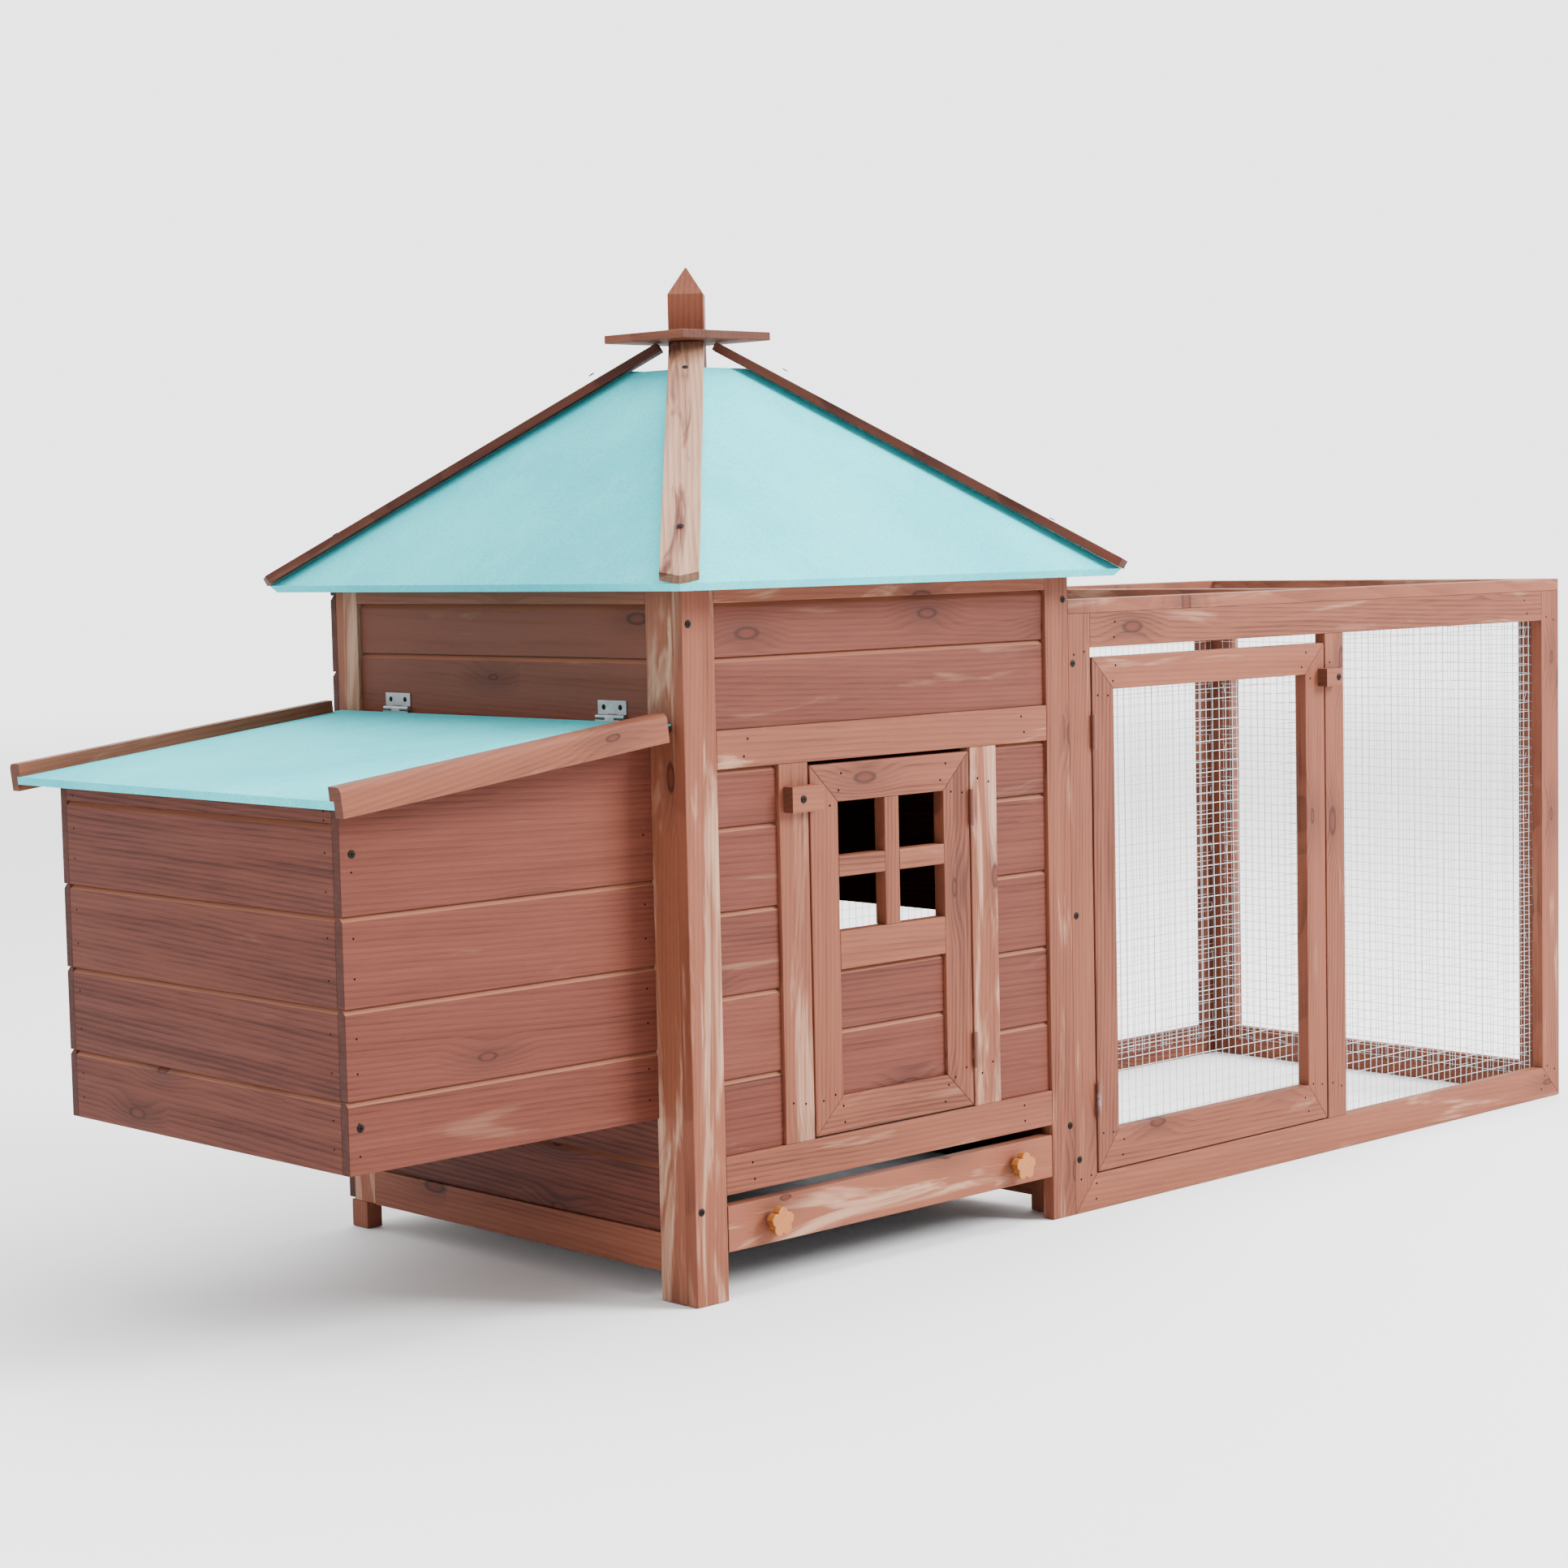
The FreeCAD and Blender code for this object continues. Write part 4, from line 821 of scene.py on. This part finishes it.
def hinge_screws():
    """Screws in the wall leaves of the nest lid's hinges."""
    heads = Builder("nest_hinge_screws")
    for solid in closed_solids("hinge_fixed_leaves"):
        low, high = solid_box(solid)
        if high.x > LEFT_WALL_X:
            continue
        middle = (low + high) / 2
        for side in (-1, 1):
            spot = Vector((low_face(solid), middle.y + side * LEAF_SCREW_SPREAD, high.z - LEAF_SCREW_DROP))
            screw(heads, spot, Vector((-1, 0, 0)), LEAF_SCREW_RADIUS, SMALL_SCREW_RISE)
    heads.build("coop", "screw_steel", looks=("screw_steel", "recess_shade"))


def low_face(solid):
    """X of the outer face of a wall leaf's plate, taken at its top edge."""
    points = [corner for corners in solid for corner in corners]
    top = max(point[2] for point in points)
    return min(point[0] for point in points if point[2] > top - 0.0005)


def board_nails():
    """Finishing nails through the ends of the boards that lie on an outside face."""
    nails = Builder("board_nails")
    faces = {"rear_boards": Vector((0, 1, 0)), "nest_front_side": Vector((0, -1, 0)),
             "nest_rear_side": Vector((0, 1, 0)), "nest_end": Vector((-1, 0, 0))}
    for node, outward in faces.items():
        level = outward.cross(Vector((0, 0, 1)))
        for solid in closed_solids(node):
            low, high = solid_box(solid)
            middle = (low + high) / 2
            half = (high - low) / 2
            surface = middle + outward * abs(half.dot(outward))
            for side in (-1, 1):
                for share in (-BOARD_NAIL_SHARE, BOARD_NAIL_SHARE):
                    reach = abs(half.dot(level)) - BOARD_NAIL_INSET
                    centre = surface + level * side * reach + Vector((0, 0, half.z * share))
                    centre += Vector((0, 0, rng.uniform(-BOARD_NAIL_WANDER, BOARD_NAIL_WANDER)))
                    if node.endswith("side") and (centre.z > NEST_NAIL_TOP or half.z < NARROW_BOARD):
                        continue
                    brad(nails, centre, outward)
    # the nail heads are drawn near-black in the painted shade of their sunk holes
    nails.build("coop", "screw_steel", looks=("recess_shade",))


def frame_nails():
    """Two finishing nails near each end of the front's frame pieces."""
    outward = Vector((0, -1, 0))
    for body, nodes in (("coop", ("front_rails", "front_door_jambs", "run_front_frame")),
                        ("house_door", ("house_door_frame",)), ("run_door", ("run_door_frame",))):
        nails = Builder(f"{body}_frame_nails")
        for node in nodes:
            for solid in closed_solids(node):
                along, across, _ = grain_axes(solid)
                low, high = solid_box(solid)
                middle = (low + high) / 2
                half = (high - low) / 2
                reach = abs(half.dot(along)) - FRAME_NAIL_INSET
                if half.x * half.z < SMALLEST_NAILED or reach < SHORTEST_NAILED:
                    continue
                for side in (-1, 1):
                    for sway in FRAME_NAIL_SWAYS:
                        place = reach + rng.uniform(0, FRAME_NAIL_WANDER)
                        centre = middle + along * side * place + across * sway
                        brad(nails, Vector((centre.x, low.y, centre.z)), outward, FRAME_NAIL_RADIUS)
        # the nail heads are drawn near-black in the painted shade of their sunk holes
        nails.build(body, "screw_steel", looks=("recess_shade",))


# ---------------------------------------------------------------- stage, light and camera

FLOOR_HALF = 14.0
FLOOR_DROP = 0.0005


def studio():
    """A pale floor, its surroundings and three soft lights."""
    plane = bpy.data.meshes.new("floor")
    corners = [(-FLOOR_HALF, -FLOOR_HALF, 0), (FLOOR_HALF, -FLOOR_HALF, 0),
               (FLOOR_HALF, FLOOR_HALF, 0), (-FLOOR_HALF, FLOOR_HALF, 0)]
    plane.from_pydata(corners, [], [(0, 1, 2, 3)])
    floor = bpy.data.objects.new("floor", plane)
    floor.location.z = -FLOOR_DROP
    plane.materials.append(stage_surface("floor", rgb(244, 244, 245)))
    bpy.context.scene.collection.objects.link(floor)
    studio_world()
    softbox("key", place=(3.2, -4.4, 3.6), target=(0.0, 0.0, 0.4), size=2.6, power=930)
    softbox("fill", place=(-4.6, -1.6, 2.0), target=(-0.3, 0.0, 0.4), size=3.0, power=80)
    softbox("top", place=(0.2, -0.8, 4.6), target=(0.1, 0.0, 0.4), size=3.2, power=240)


def studio_world():
    """White surroundings, dimmer on the house's left."""
    world = bpy.data.worlds.new("studio")
    shader = Shader("studio", world)
    place = shader.add("ShaderNodeTexCoord").outputs["Generated"]
    shader.link((1.0, 1.0, 1.0, 1.0), shader.surface.inputs["Color"])
    shader.link(surroundings(shader, place), shader.surface.inputs["Strength"])
    bpy.context.scene.world = world


def softbox(name, place, target, size, power):
    """A square soft light that faces its target."""
    light = bpy.data.lights.new(name, "AREA")
    light.size = size
    light.energy = power
    item = bpy.data.objects.new(name, light)
    item.location = place
    item.rotation_euler = (Vector(place) - Vector(target)).to_track_quat("Z", "Y").to_euler()
    bpy.context.scene.collection.objects.link(item)


def camera():
    """Eye height and distance of someone crouching in front of the house, a little to its left."""
    eye = Vector((-2.5623, -2.5385, 0.7496))
    yaw, pitch, roll = (math.radians(angle) for angle in (43.897, 4.5164, -1.2019))
    forward = Vector((math.cos(pitch) * math.sin(yaw), math.cos(pitch) * math.cos(yaw), -math.sin(pitch)))
    level = Vector((math.cos(yaw), -math.sin(yaw), 0))
    up = level.cross(forward)
    right = level * math.cos(roll) + up * math.sin(roll)
    top = up * math.cos(roll) - level * math.sin(roll)
    data = bpy.data.cameras.new("camera")
    data.sensor_width = 36.0
    data.lens = 71.934
    data.shift_x = -0.0151
    data.dof.use_dof = False
    item = bpy.data.objects.new("camera", data)
    turn = Matrix((right, top, -forward)).transposed().to_4x4()
    item.matrix_world = Matrix.Translation(eye) @ turn
    bpy.context.scene.collection.objects.link(item)
    bpy.context.scene.camera = item


for part in frame["nodes"]:
    if part in MESH_NODES or part == "screws":
        continue
    rounded_copy(part, WIDTHS[SLOT_OF[part]])
for panel, inwards in MESH_NODES.items():
    wire_panel(panel, inwards)
cad_screws()
hip_screws()
hinge_screws()
board_nails()
frame_nails()
studio()
camera()
